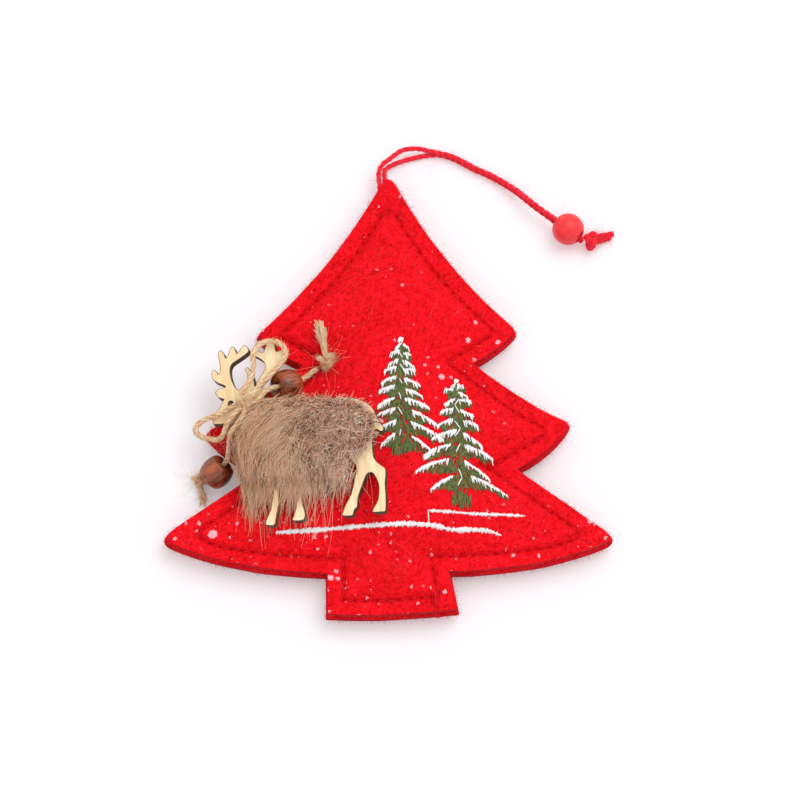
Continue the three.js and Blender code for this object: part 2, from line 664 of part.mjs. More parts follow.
const fillingLook = material(0xf4f1ea, 1);
const woolLook = material(0xb5121b, 0.9);
piece("felt_front_panel", withChannel(frontPanel), feltLook, ornament);
piece("felt_back_panel", withChannel(backPanel), feltLook, ornament);
piece("fibre_filling", filling, fillingLook, ornament);
piece("seam_needle_thread", needleThread, threadLook, ornament);
piece("seam_bobbin_thread", bobbinThread, threadLook, ornament);

// Stitched motifs
const greenLook = material(0x4f6b2f, 0.6);
const snowLook = material(0xf7f7f4, 0.5);
piece("fir_tall_embroidery", fir(TALL_FIR_ROWS), greenLook, ornament);
piece("fir_small_embroidery", fir(SMALL_FIR_ROWS), greenLook, ornament);
piece("snow_line_long", snowLine(SNOW_LONG, SNOW_LONG_WIDTH), snowLook, ornament);
piece("snow_line_short", snowLine(SNOW_SHORT, SNOW_SHORT_WIDTH), snowLook, ornament);

// The reindeer's board leans on the stuffed felt, as low as the felt lets it
const plyLook = material(0xedcf9b, 0.6);
const furLook = material(0x9b7d62, 1);
const juteLook = material(0xcda670, 1);
const reindeer = new THREE.Group();
reindeer.position.set(DEER_LEFT, DEER_FOOT, 0);
reindeer.rotation.set(DEER_LEAN_DOWN, -DEER_LEAN_LEFT, 0);
reindeer.updateMatrixWorld();
ornament.add(reindeer);
const deerOutline = Object.values(DEER_PX).flat().map(onBoard);
const deerShape = new THREE.Shape(deerOutline);
const eye = onBoard(EYE_PX);
deerShape.holes.push(new THREE.Path().absarc(eye.x, eye.y, EYE_RADIUS, 0, Math.PI * 2));
const treeEdge = outlineAt(0);
const seats = deerOutline
  .map(({ x, y }) => reindeer.localToWorld(new THREE.Vector3(x, y, 0)))
  .filter((at) => isInside(at, treeEdge))
  .map((at) => feltTopAt(at) - at.z);
reindeer.position.z = Math.max(...seats) + CLEARANCE;
reindeer.updateMatrixWorld();
const board = new THREE.ExtrudeGeometry(deerShape, { depth: PLY, bevelEnabled: false, curveSegments: 3 });
piece("reindeer_plywood", board, plyLook, reindeer);

// Its fur, the backing cut smaller than the pile
const furMiddle = onBoard(FUR_MIDDLE_PX);
const furOutline = FUR_PX.map(onBoard).reverse();
const backingOutline = furOutline.map((at) => furMiddle.clone().lerp(at, BACKING_SHARE));
const backing = new THREE.ExtrudeGeometry(new THREE.Shape(backingOutline), {
  depth: BACKING,
  bevelEnabled: false,
});
piece("fur_backing", backing.translate(0, 0, PLY + CLEARANCE), furLook, reindeer);
const pileFoot = PLY + CLEARANCE + BACKING + CLEARANCE;
const pile = solidBetween(
  ringsFlat(furOutline, furMiddle, FUR_RINGS),
  () => pileFoot,
  ({ share }) => pileFoot + FUR_RIM + FUR_RISE * Math.sqrt(1 - share ** 2),
);
piece("fur_pile", pile, furLook, reindeer);

// The twine round its neck is a closed ring, flat on both sides of the board
const neckEnds = [NECK_FROM_PX, NECK_TO_PX].map(onBoard);
const neckMiddle = neckEnds[0].clone().lerp(neckEnds[1], 0.5);
const neckWay = neckEnds[1].clone().sub(neckMiddle);
const neckReach = neckWay.length();
neckWay.normalize();
const neckTop = PLY + CLEARANCE + JUTE_RADIUS;
const neckFoot = -CLEARANCE - JUTE_RADIUS;
const neckPoint = ([along, up]) =>
  new THREE.Vector3(neckMiddle.x + neckWay.x * along, neckMiddle.y + neckWay.y * along, up);
const neckPoints = [
  [-neckReach + NECK_TURN, neckTop],
  [0, neckTop],
  [neckReach - NECK_TURN, neckTop],
  [neckReach, neckTop - NECK_TURN],
  [neckReach, neckFoot + NECK_TURN],
  [neckReach - NECK_TURN, neckFoot],
  [0, neckFoot],
  [-neckReach + NECK_TURN, neckFoot],
  [-neckReach, neckFoot + NECK_TURN],
  [-neckReach, neckTop - NECK_TURN],
].map(neckPoint);
const neckRing = new THREE.CatmullRomCurve3(neckPoints, true, "centripetal");
const neckWrap = new THREE.TubeGeometry(neckRing, NECK_SEGMENTS, JUTE_RADIUS, CORD_SIDES, true);
piece("jute_neck_wrap", neckWrap, juteLook, reindeer);

// Glue between the felt and the board's back
function glueDab([x, y]) {
  const normal = new THREE.Vector3(0, 0, 1).transformDirection(reindeer.matrixWorld);
  const back = (point) =>
    reindeer.position.z -
    (normal.x * (point.x - DEER_LEFT) + normal.y * (point.y - DEER_FOOT)) / normal.z -
    CLEARANCE;
  const centre = new THREE.Vector2(x, y);
  const rim = Array.from({ length: GLUE_SIDES }, (_, k) => {
    const turn = (k / GLUE_SIDES) * Math.PI * 2;
    return new THREE.Vector2(x + GLUE_RADIUS * Math.cos(turn), y + GLUE_RADIUS * Math.sin(turn));
  });
  return solidBetween(ringsFlat(rim, centre, GLUE_RINGS), (point) => feltTopAt(point) + CLEARANCE, back);
}
const glueLook = material(0xe9e4d2, 0.35);
piece("glue_dab_shoulder", glueDab(SHOULDER_GLUE), glueLook, ornament);
piece("glue_dab_rump", glueDab(RUMP_GLUE), glueLook, ornament);

// The bow's knot, loops and tails, with a knot at the end of each tail
piece("jute_bow_knot", ellipsoid(BOW_KNOT), juteLook, ornament);
piece("jute_loop_left", cordAlong(LEFT_LOOP, JUTE_RADIUS), juteLook, ornament);
piece("jute_loop_right", cordAlong(RIGHT_LOOP, JUTE_RADIUS), juteLook, ornament);
piece("jute_tail_left", cordAlong(LEFT_TAIL, JUTE_RADIUS), juteLook, ornament);
piece("jute_tail_right", cordAlong(RIGHT_TAIL, JUTE_RADIUS), juteLook, ornament);
const leftEnd = knotWithEnds(LEFT_END_KNOT, [LEFT_FRAYED_END], FRAYED_RADII);
const rightEnd = knotWithEnds(RIGHT_END_KNOT, [RIGHT_FRAYED_END], FRAYED_RADII);
piece("jute_end_knot_left", leftEnd, juteLook, ornament);
piece("jute_end_knot_right", rightEnd, juteLook, ornament);

// Wooden beads, each turned so that its bore follows its cord
function onAxis(mesh, { at, axis }) {
  mesh.position.set(...at);
  mesh.quaternion.setFromUnitVectors(THREE.Object3D.DEFAULT_UP, new THREE.Vector3(...axis).normalize());
}
const barrelProfile = [
  [BARREL.bore, -BARREL.half],
  [BARREL.end, -BARREL.half],
  [BARREL_MIDDLE_RADIUS, -BARREL.half * BARREL_MIDDLE_SHARE],
  [BARREL.belly, 0],
  [BARREL_MIDDLE_RADIUS, BARREL.half * BARREL_MIDDLE_SHARE],
  [BARREL.end, BARREL.half],
  [BARREL.bore, BARREL.half],
];
const barrelLook = material(0x6b3416, 0.35);
onAxis(piece("brown_bead_left", turned(barrelProfile), barrelLook, ornament), LEFT_BEAD);
onAxis(piece("brown_bead_right", turned(barrelProfile), barrelLook, ornament), RIGHT_BEAD);
const boreTurn = Math.asin(RED_BEAD.bore / RED_BEAD.radius);
const ballProfile = Array.from({ length: BALL_RINGS + 1 }, (_, k) => {
  const turn = boreTurn + (k / BALL_RINGS) * (Math.PI - 2 * boreTurn);
  return [RED_BEAD.radius * Math.sin(turn), -RED_BEAD.radius * Math.cos(turn)];
});
onAxis(piece("red_bead", turned(ballProfile), material(0xc8141d, 0.5), ornament), RED_BEAD);

// Hanger
piece("hanger_anchor", anchorBar(0), woolLook, ornament);
piece("hanger_strand_inner", cordAlong(INNER_STRAND, WOOL_RADIUS), woolLook, ornament);
piece("hanger_strand_outer", cordAlong(OUTER_STRAND, WOOL_RADIUS), woolLook, ornament);
piece("hanger_end_knot", knotWithEnds(END_KNOT, KNOT_TAILS, WOOL_RADIUS), woolLook, ornament);

export default ornament;
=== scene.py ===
"""A felt Christmas tree ornament lying on its back on a pale table.

Two red felt trees are sewn together round a soft filling. Snowy firs are stitched on the front, and a
plywood reindeer in a fur coat is glued on, with beads on its jute bow. A wool cord hangs the tree up.
Sizes are written in millimetres and become metres where a mesh is made. +Y points to the tree's tip.
"""

import bpy
import numpy as np
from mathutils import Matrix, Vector
from mathutils.geometry import tessellate_polygon


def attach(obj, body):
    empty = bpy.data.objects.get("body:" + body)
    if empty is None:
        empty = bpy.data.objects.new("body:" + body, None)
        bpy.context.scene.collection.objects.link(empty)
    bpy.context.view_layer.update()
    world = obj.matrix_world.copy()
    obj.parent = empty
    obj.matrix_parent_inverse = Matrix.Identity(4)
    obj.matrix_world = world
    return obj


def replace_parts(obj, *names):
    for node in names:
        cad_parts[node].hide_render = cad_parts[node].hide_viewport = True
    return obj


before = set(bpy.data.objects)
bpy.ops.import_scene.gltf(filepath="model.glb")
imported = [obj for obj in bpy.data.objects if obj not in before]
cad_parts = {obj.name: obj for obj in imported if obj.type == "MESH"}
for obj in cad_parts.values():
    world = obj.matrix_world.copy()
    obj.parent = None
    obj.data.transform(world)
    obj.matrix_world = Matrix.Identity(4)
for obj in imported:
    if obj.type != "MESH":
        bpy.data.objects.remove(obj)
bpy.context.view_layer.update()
MM = 0.001
rng = np.random.default_rng(24)

# The view: the camera looks down at the table from far above the tree's foot, so that the ornament
# is seen almost flat, with its lower edges just showing.
aim = np.array([3.14, -1.9, 7.2])
distance, elevation = 1200, np.radians(73)
place = aim + distance * np.array([0, -np.cos(elevation), np.sin(elevation)])
camera = bpy.data.objects.new("camera", bpy.data.cameras.new("camera"))
bpy.context.scene.collection.objects.link(camera)
camera.location = Vector(place * MM)
camera.rotation_euler = Vector((aim - place) * MM).to_track_quat("-Z", "Y").to_euler()
camera.data.lens = 198.2
camera.data.clip_end = 20
bpy.context.scene.camera = camera


# The hanger is a fuzzy red wool cord of two plies. Its ends are sewn in between the felts at the
# tip, it is doubled, and both strands pass through a painted wooden bead to a knot. The bead slides.
class Value:
    """A number or colour in a material. Sums, differences and products of it make Math nodes."""

    def __init__(self, finish, socket):
        self.finish = finish
        self.socket = socket

    def maths(self, operation, *others):
        node = self.finish.tree.nodes.new("ShaderNodeMath")
        node.operation = operation
        for slot, value in zip(node.inputs, (self, *others)):
            self.finish.put(slot, value)
        return Value(self.finish, node.outputs[0])

    def __add__(self, other):
        return self.maths("ADD", other)

    def __sub__(self, other):
        return self.maths("SUBTRACT", other)

    def __rsub__(self, other):
        return self * -1 + other

    def __mul__(self, other):
        return self.maths("MULTIPLY", other)

    __radd__, __rmul__ = __add__, __mul__

    def between(self, low, high):
        """0 below low and 1 above high, with a smooth step in between."""
        inputs = {"Value": self, "From Min": low, "From Max": high}
        return self.finish.node("ShaderNodeMapRange", inputs=inputs, interpolation_type="SMOOTHSTEP")

    def blend(self, low, high):
        """The colour low where this is 0 and high where it is 1."""
        colours = {0: self, 6: low, 7: high}
        return self.finish.node("ShaderNodeMix", output=2, inputs=colours, data_type="RGBA")

    def twin(self, output):
        """Another output of the node that this comes from."""
        return Value(self.finish, self.socket.node.outputs[output])


class Finish:
    """A Principled material whose patterns are in millimetres on Object coordinates."""

    def __init__(self, name, roughness=0.5, **constants):
        self.material = bpy.data.materials.new(name)
        self.material.use_nodes = True
        self.tree = self.material.node_tree
        self.shader = self.tree.nodes["Principled BSDF"]
        self.set(roughness=roughness, **constants)
        where = self.node("ShaderNodeTexCoord", output="Object")
        self.place = self.node("ShaderNodeVectorMath", inputs={0: where, "Scale": 1 / MM}, operation="SCALE")

    def put(self, slot, value):
        """Links a Value to a socket, or writes a plain number, colour or vector on it."""
        if isinstance(value, Value):
            self.tree.links.new(value.socket, slot)
        elif slot.type == "RGBA":
            slot.default_value = (*value, 1)
        else:
            slot.default_value = value

    def node(self, kind, output=0, inputs=None, **settings):
        """Adds one node with its settings and inputs and returns the named output."""
        node = self.tree.nodes.new(kind)
        for key, value in settings.items():
            setattr(node, key, value)
        for key, value in (inputs or {}).items():
            self.put(node.inputs[key], value)
        return Value(self, node.outputs[output])

    def set(self, **values):
        """Sets the shader's sockets by their names: base_color for Base Color, and so on."""
        for key, value in values.items():
            self.put(self.shader.inputs[key.replace("_", " ").title().replace("Ior", "IOR")], value)

    def turned_place(self, stretch, turn):
        """The place in a frame turned by turn, drawn out by stretch along each of its axes."""
        inputs = {"Vector": self.place, "Rotation": turn, "Scale": stretch}
        return self.node("ShaderNodeMapping", inputs=inputs, vector_type="TEXTURE")

    def noise(self, scale, stretch=(1, 1, 1), turn=(0, 0, 0), detail=2.0):
        """Soft noise with scale lumps per millimetre, drawn out by stretch in a turned frame."""
        inputs = {"Vector": self.turned_place(stretch, turn), "Scale": scale, "Detail": detail}
        return self.node("ShaderNodeTexNoise", inputs=inputs)

    def attribute(self, name):
        """A number stored at the mesh's points."""
        return self.node("ShaderNodeAttribute", output="Fac", attribute_name=name)

    def bump(self, height, depth):
        """Relief as deep as depth millimetres where height goes from 0 to 1."""
        self.set(normal=self.node("ShaderNodeBump", inputs={"Height": height, "Distance": depth * MM}))


def piece(name, mesh_data, finish, slot, body="tree", smooth=True, **attributes):
    """A mesh object from (vertices in millimetres, blocks of equal-sized faces) that rides on a body."""
    vertices, faces = mesh_data
    mesh = bpy.data.meshes.new(name)
    mesh.vertices.add(len(vertices))
    mesh.vertices.foreach_set("co", np.asarray(vertices, dtype=np.float32).ravel() * MM)
    corners = np.concatenate([block.ravel() for block in faces])
    sizes = np.concatenate([np.full(len(block), block.shape[1]) for block in faces])
    mesh.loops.add(len(corners))
    mesh.loops.foreach_set("vertex_index", corners.astype(np.int32))
    mesh.polygons.add(len(sizes))
    mesh.polygons.foreach_set("loop_start", (np.cumsum(sizes) - sizes).astype(np.int32))
    mesh.polygons.foreach_set("use_smooth", np.full(len(sizes), smooth))
    for key, values in attributes.items():
        layer = mesh.attributes.new(key, "FLOAT", "POINT")
        layer.data.foreach_set("value", np.asarray(values, dtype=np.float32).ravel())
    mesh.update(calc_edges=True)
    made = bpy.data.objects.new(name, mesh)
    bpy.context.scene.collection.objects.link(made)
    mesh.materials.append(finish.material)
    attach(made, body)
    return made


def unit(vectors):
    """Vectors divided by their lengths."""
    return vectors / np.linalg.norm(vectors, axis=-1, keepdims=True)


def raised(flat, height):
    """Flat points with their heights as the third coordinate."""
    height = np.broadcast_to(height, flat.shape[:-1])
    return np.concatenate([flat, height[..., None]], axis=-1)


def run_along(line):
    """The length of a line up to each of its points."""
    return np.concatenate([[0], np.cumsum(np.linalg.norm(np.diff(line, axis=0), axis=1))])


def smooth_route(points, step=0.35, closed=False):
    """A Catmull-Rom curve through the points, resampled at even steps along its length.

    Between p1 and p2 it is 0.5 (2 p1 + (p2 - p0) t + (2 p0 - 5 p1 + 4 p2 - p3) t^2
    + (3 p1 - p0 - 3 p2 + p3) t^3).
    """
    points = np.asarray(points, dtype=float)
    before, after = 2 * points[:1] - points[1:2], 2 * points[-1:] - points[-2:-1]
    p = np.concatenate([points[-1:], points, points[:2]] if closed else [before, points, after])
    t = np.linspace(0, 1, 24, endpoint=False)[None, :, None]
    p0, p1, p2, p3 = (p[i : len(p) - 3 + i][:, None] for i in range(4))
    curve = p1 + 0.5 * ((p2 - p0) * t + (2 * p0 - 5 * p1 + 4 * p2 - p3) * t**2)
    curve = curve + 0.5 * (3 * p1 - p0 - 3 * p2 + p3) * t**3
    curve = np.concatenate([curve.reshape(-1, points.shape[1]), points[:1] if closed else points[-1:]])
    run = run_along(curve)
    even = np.linspace(0, run[-1], max(3, int(run[-1] / step) + 1))
    return np.stack([np.interp(even, run, column) for column in curve.T], axis=1)


def wrapped(rings, endless=False):
    """Closed skins over rings of points, of the shape (skins, rings, points round a ring, 3).

    The points go anticlockwise round the way that the rings advance. Both end rings get a flat
    cap, unless the skin is endless, so that its last ring meets its first one.
    """
    rings = np.asarray(rings, dtype=float)
    index = np.arange(rings[..., 0].size).reshape(rings.shape[:3])
    low, high = (index, np.roll(index, -1, 1)) if endless else (index[:, :-1], index[:, 1:])
    walls = np.stack([low, np.roll(low, -1, 2), np.roll(high, -1, 2), high], axis=-1)
    caps = [] if endless else [np.concatenate([index[:, 0, ::-1], index[:, -1]])]
    return rings.reshape(-1, 3), [walls.reshape(-1, 4), *caps]


def spokes(along, over, angle):
    """Unit vectors square to along: cos a across + sin a lift.

    across is square to along and to the direction over, and lift is square to along and to across.
    """
    across = unit(np.cross(np.asarray(over, dtype=float), along))
    return np.cos(angle) * across + np.sin(angle) * np.cross(along, across)


hair_sides = 3


def strands(points, radii, sides=hair_sides, over=(0.31, 0.17, 0.93)):
    """Closed tapered tubes along rows of points, of the shape (strands, rings, 3).

    A ring's points are middle + radius times the spokes that are square to the strand.
    """
    points = np.asarray(points, dtype=float)
    radii = np.broadcast_to(radii, points.shape[:2])[..., None, None]
    along = unit(np.gradient(points, axis=1))[:, :, None]
    angle = (np.arange(sides) * 2 * np.pi / sides)[:, None]
    return wrapped(points[:, :, None] + radii * spokes(along, over, angle))


def joined(*parts):
    """Several (vertices, faces) meshes as one."""
    starts = np.cumsum([0] + [len(vertices) for vertices, _ in parts])
    blocks = [block + start for (_, faces), start in zip(parts, starts) for block in faces]
    return np.concatenate([vertices for vertices, _ in parts]), blocks


def twine(route, plies, ply_radius, lay_radius, pitch, over=(0, 0, 1)):
    """Plies twisted round a route: ply k stands at the angle 2 pi (run / pitch + k / plies)."""
    run, ply = run_along(route), np.arange(plies)[:, None]
    turns = (2 * np.pi * (run / pitch + ply / plies))[..., None]
    paths = route + lay_radius * spokes(unit(np.gradient(route, axis=0)), over, turns)
    return strands(paths, ply_radius * (1 + 0.08 * np.sin(run * 5.1 + ply * 2)), 7, over)


def stray_fibres(route, count, reach, thickness, cord_radius, cling=0.0, curl=1.2):
    """Fine hairs that leave a cord at random places: start + out r + way l t + bend curl l t^2.

    Clinging hairs start outside the cord and run along it, and the others stand off it.
    """
    at = rng.integers(1, len(route) - 1, count)
    along = unit(np.gradient(route, axis=0))[at][:, None] * rng.choice((-1, 1), (count, 1, 1))
    out = rng.normal(size=(count, 1, 3))
    out = unit(out - (out * along).sum(-1, keepdims=True) * along)
    way = unit(out * (1 - cling) + along * (0.4 + cling) + 0.5 * rng.normal(size=(count, 1, 3)) * (1 - cling))
    bend = unit(rng.normal(size=(count, 1, 3))) * (1 - cling) - out * cling * 0.3
    long = (reach * rng.uniform(0.35, 1, count) ** 1.5)[:, None, None]
    t = np.linspace(0, 1, 6)[None, :, None]
    starts = route[at][:, None] + out * cord_radius * (0.7 + 0.3 * cling)
    points = starts + way * long * t + bend * curl * long * t**2
    points[..., 2] = np.maximum(points[..., 2], 0.12)
    return strands(points, thickness * np.linspace(1, 0.4, 6))


def knot_route(at, radii, cord_radius):
    """The line of a tight knot: at + reach (sin t + 2 sin 2t, cos t - 2 cos 2t, -3 sin 3t) / 3."""
    t = np.linspace(0, 2 * np.pi, 80)
    knot = [np.sin(t) + 2 * np.sin(2 * t), np.cos(t) - 2 * np.cos(2 * t), -3 * np.sin(3 * t)]
    return np.asarray(at) + (np.asarray(radii) - cord_radius) * np.stack(knot, axis=1) / 3


def turned(profile, at, axis, segments=72):
    """A body turned round an axis from an endless profile of (radius, height) points.

    Its points are at + height axis + radius times the spokes that are square to the axis.
    """
    axis = unit(np.asarray(axis, dtype=float))
    radius, height = np.asarray(profile).T[:, :, None, None]
    angle = (np.arange(segments) * 2 * np.pi / segments)[:, None]
    around = radius * spokes(axis, (-0.2, -0.3, -0.9), angle)
    return wrapped((np.asarray(at) + height * axis + around)[None], endless=True)


def spun_fibre(name, dark, light, sheen):
    """Spun fibre: streaks of two colours and a fine hairy relief."""
    finish = Finish(name, roughness=0.9, specular_ior_level=0.15, sheen_weight=sheen)
    streaks = finish.noise(3.2, detail=3) * 0.7 + finish.noise(0.5) * 0.5
    finish.set(base_color=streaks.between(0.4, 0.82).blend(dark, light))
    finish.bump(finish.noise(5.5), 0.12)
    return finish


wool = spun_fibre("red_wool", (0.86, 0.009, 0.025), (1, 0.045, 0.08), 0.1)
inner_route = [
    (-0.1, 52.8, 5), (-0.9, 60, 5), (-1.15, 63.6, 4.8), (-1.2, 64.6, 4.4), (-0.9, 66, 3.7),
    (0.4, 67.3, 2.9), (2, 68.4, 2.2), (4.2, 69.5, 1.4), (6.8, 70.4, 0.95), (9.1, 71, 0.8),
    (11.7, 71.4, 0.8), (14.2, 71.4, 0.8), (16.8, 70.7, 0.8), (19.5, 69.5, 0.8), (23.9, 67, 0.8),
    (29.2, 64.4, 0.9), (34.6, 60.5, 2), (37.6, 57.6, 3.2), (40.6, 54.8, 3.85), (45.4, 51.1, 3.85),
    (49.33, 48.05, 3.85), (53.45, 44.9, 3.75),
]
outer_route = [
    (-1.4, 52.8, 5), (-2.4, 60, 5.1), (-2.75, 63.6, 5.2), (-2.6, 65.3, 5.1), (-1.5, 67.3, 5),
    (0.4, 69, 4.5), (2.05, 70.5, 4.1), (3.9, 71.8, 3.7), (6.1, 72.4, 3.2), (8.3, 72.6, 2.7),
    (10.8, 72.2, 2.2), (13.2, 71.8, 2), (17, 70.85, 1.9), (19.7, 69.65, 1.9), (24.1, 67.15, 1.9),
    (29.4, 64.55, 2), (34.8, 60.7, 3.2), (37.8, 57.8, 4.4), (40.8, 55, 5.1), (45.6, 51.35, 5.1),
    (49.6, 48.3, 5.1), (53.7, 45.3, 5),
]
wool_radius = 0.66

red_paint = Finish("red_bead_paint", roughness=0.45, coat_weight=0.15, coat_roughness=0.35)
wear = red_paint.noise(0.6, stretch=(1, 6, 1), turn=(0, 0, -0.65), detail=4)
red_paint.set(base_color=wear.between(0.35, 0.7).blend((0.78, 0.012, 0.018), (0.93, 0.025, 0.03)))
red_paint.bump(red_paint.noise(1.2, stretch=(1, 7, 1), turn=(0, 0, -0.65)), 0.12)
bead_radius, bore = 4.4, 1.85
turn = np.linspace(np.arcsin(bore / bead_radius), np.pi - np.arcsin(bore / bead_radius), 40)
ball = np.stack([bead_radius * np.sin(turn), -bead_radius * np.cos(turn)], axis=1)
ball_mesh = turned(ball, (49.6, 48.3, 4.5), (0.793, -0.609, 0))
red_bead = piece("red_bead_ball", ball_mesh, red_paint, "red_wood", "red_bead")
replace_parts(red_bead, "red_bead")

knot_at, knot_radii = (56, 45.45, 3.2), (2.3, 2.9, 2.5)
knot_tails = [
    [(56.2, 46.2, 3), (58, 46.9, 2.2), (60, 47.5, 1.5), (62.2, 48.1, 1.2)],
    [(56.4, 45.2, 3), (58.2, 45.7, 2), (60, 46.5, 1.3), (61.4, 47.2, 1)],
]
knot_line = knot_route(knot_at, knot_radii, 1)
tail_lines = [smooth_route(tail) for tail in knot_tails]
knot_parts = [twine(knot_line, 4, 0.5, 0.5, 5), *(twine(line, 3, 0.42, 0.42, 4) for line in tail_lines)]
knot_hairs = [
    stray_fibres(line, count, reach, 0.035, radius, cling)
    for line, radius in ((knot_line, 0.9), (tail_lines[0], 0.75), (tail_lines[1], 0.75))
    for count, reach, cling in ((420, 1.1, 0.8), (150, 1.6, 0.1))
]
end_knot = piece("hanger_knot", joined(*knot_parts, *knot_hairs), wool, "red_wool")
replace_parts(end_knot, "hanger_end_knot")
for side, route, pieces in (("inner", inner_route, [end_knot]), ("outer", outer_route, [red_bead])):
    line = smooth_route(route)
    strand = piece(f"hanger_{side}_wool", twine(line, 2, 0.45, 0.29, 3.8), wool, "red_wool")
    # Only the part outside of the felts is fuzzy.
    outside = line[line[:, 1].argmax() // 4 :]
    fuzz = joined(
        stray_fibres(outside, 1900, 1.3, 0.034, wool_radius, cling=0.85),
        stray_fibres(outside, 700, 0.8, 0.028, wool_radius),
        stray_fibres(outside, 90, 3, 0.022, wool_radius),
        stray_fibres(outside[30:], 14, 5.5, 0.02, wool_radius, curl=0.9),
    )
    hairs = piece(f"hanger_{side}_fuzz", fuzz, wool, "red_wool")
    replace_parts(strand, f"hanger_strand_{side}")
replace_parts(end_knot, "hanger_anchor")

# The bow is tied from three-ply jute twine. Two loops and two tails leave its knot. Each tail runs
# through a dark stained barrel bead to a knot with a frayed end, and the beads turn on the twine.
jute = spun_fibre("jute", (0.85, 0.48, 0.24), (1, 0.85, 0.59), 0)
jute_radius = 0.7
bow_knot_at, bow_knot_radii = (-38.5, -6.15, 17.85), (2.4, 2.2, 1.6)
left_loop_right_tail = [
    (-41.1, -6.2, 17.3), (-43, -7.2, 16.1), (-45.4, -8.1, 14.8), (-47.9, -8.7, 13.7), (-50.2, -9.4, 12.3),
    (-51.8, -10.5, 11.2), (-52, -11.9, 10.4), (-50.8, -13, 9.8), (-48.7, -13.6, 9.5), (-46.4, -13.9, 9.9),
    (-44.8, -13.5, 12.6), (-43.2, -10.8, 16.9), (-40.8, -8.2, 17.7), (-38.4, -6.6, 18), (-35.7, -5.6, 17.9),
    (-34.5, -4.1, 17.9), (-33.1, -2.4, 17.3), (-31.8, -1.3, 16.2), (-30.08, -0.29, 14.3), (-27.6, 0.8, 12.4),
    (-24.9, 2, 10.32), (-23.8, 3.2, 9.2), (-22.2, 4.4, 8.7), (-20.4, 5.8, 8.9), (-19.4, 6.3, 9.3),
]
right_loop_left_tail = [
    (-39.5, -3.4, 17.8), (-38.2, -0.7, 17.5), (-36.8, 2.4, 17.1), (-36.6, 5.4, 17.1), (-36.6, 8.2, 17.3),
    (-35.3, 10.3, 17.6), (-32.9, 11.4, 17.8), (-30.3, 11.2, 18), (-28.2, 9.5, 18), (-28, 7.1, 18),
    (-29.6, 4.6, 18), (-31.6, 2.3, 18), (-33.8, -0.2, 18.1), (-35.4, -2, 18.2), (-37, -4, 18.3),
    (-38.2, -6.6, 18.3), (-38.9, -8.9, 18.1), (-39.9, -10.6, 18), (-41.4, -12.4, 16.7), (-42.7, -13.8, 14.6),
    (-43.1, -15.8, 11.9), (-43.3, -17.5, 9.9), (-43.7, -19, 8), (-44.53, -19.79, 6.4), (-46.7, -21.65, 4.75),
    (-49.26, -23.85, 2.8),
]


def stained(name, axis):
    """Dark stained wood under varnish, with its grain along the bead's bore."""
    finish = Finish(name, roughness=0.4, coat_weight=0.35, coat_roughness=0.22)
    turn = Vector(axis).to_track_quat("Z", "Y").to_euler()
    grain = finish.noise(1.3, stretch=(1, 1, 7), turn=turn, detail=4)
    blotches = finish.noise(0.28, stretch=(1, 1, 2), turn=turn)
    soaked = (grain * 0.6 + blotches * 0.5).between(0.38, 0.72)
    finish.set(base_color=soaked.blend((0.07, 0.012, 0.003), (0.46, 0.09, 0.02)))
    finish.bump(grain, 0.08)
    return finish


half_barrel = [
    (1.3, 2.95), (1.45, 3.2), (1.75, 3.3), (2.9, 3.3), (3.3, 3.18), (3.55, 2.9), (3.85, 2.3),
    (4.08, 1.5), (4.21, 0.75),
]
barrel = [*((radius, -height) for radius, height in half_barrel), (4.25, 0), *half_barrel[::-1]]


def frayed(route, spread, count, thickness):
    """Loose fibres along a route: route + offset (0.45 + t^2) + a wave of 0.12 mm, spread at the end."""
    line = smooth_route(route)
    line = line[np.linspace(0, len(line) - 1, 9).astype(int)]
    t = np.linspace(0, 1, 9)[None, :, None]
    offset = unit(rng.normal(size=(count, 1, 3))) * rng.uniform(0, spread, (count, 1, 1)) ** 0.8
    wave = 0.12 * np.sin(9 * t + rng.uniform(0, 6, (count, 1, 3)))
    ends = rng.uniform(0.72, 1.14, (count, 1, 1))
    return strands(line[0] + (line - line[0]) * ends + offset * (0.45 + t**2) + wave, thickness)


def jute_twine(route, over=(0, 0, 1)):
    """Three loose plies with fibres lying along them."""
    lying = stray_fibres(route, 13 * len(route), 2.6, 0.055, 0.66, cling=0.86)
    return joined(twine(route, 3, 0.36, 0.34, 6.5, over=over), lying)


bow_line = knot_route(bow_knot_at, bow_knot_radii, jute_radius)
bow_hairs = stray_fibres(bow_line, 200, 2.4, 0.03, jute_radius)
bow_knot = piece("jute_bow_wraps", joined(jute_twine(bow_line), bow_hairs), jute, "jute")
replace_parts(bow_knot, "jute_bow_knot")
tails = [
    (
        "right",
        left_loop_right_tail,
        ("jute_loop_left", "jute_tail_right"),
        ((-27.6, 0.8, 12.4), (0.75, 0.33, -0.574)),
        ((-16.9, 8, 10.6), (2.6, 2.4, 2.1)),
        [(-17, 9, 10.6), (-17.7, 12.6, 10.9), (-18.7, 17.4, 12)],
        (1.35, 230),
    ),
    (
        "left",
        right_loop_left_tail,
        ("jute_loop_right", "jute_tail_left"),
        ((-46.7, -21.65, 4.75), (0.658, 0.563, 0.5)),
        ((-51.5, -23.2, 1.95), (1.8, 1.8, 1.7)),
        [(-51.4, -23.8, 1.9), (-51, -25.4, 1.6), (-50.3, -28.7, 1.4)],
        (0.95, 120),
    ),
]
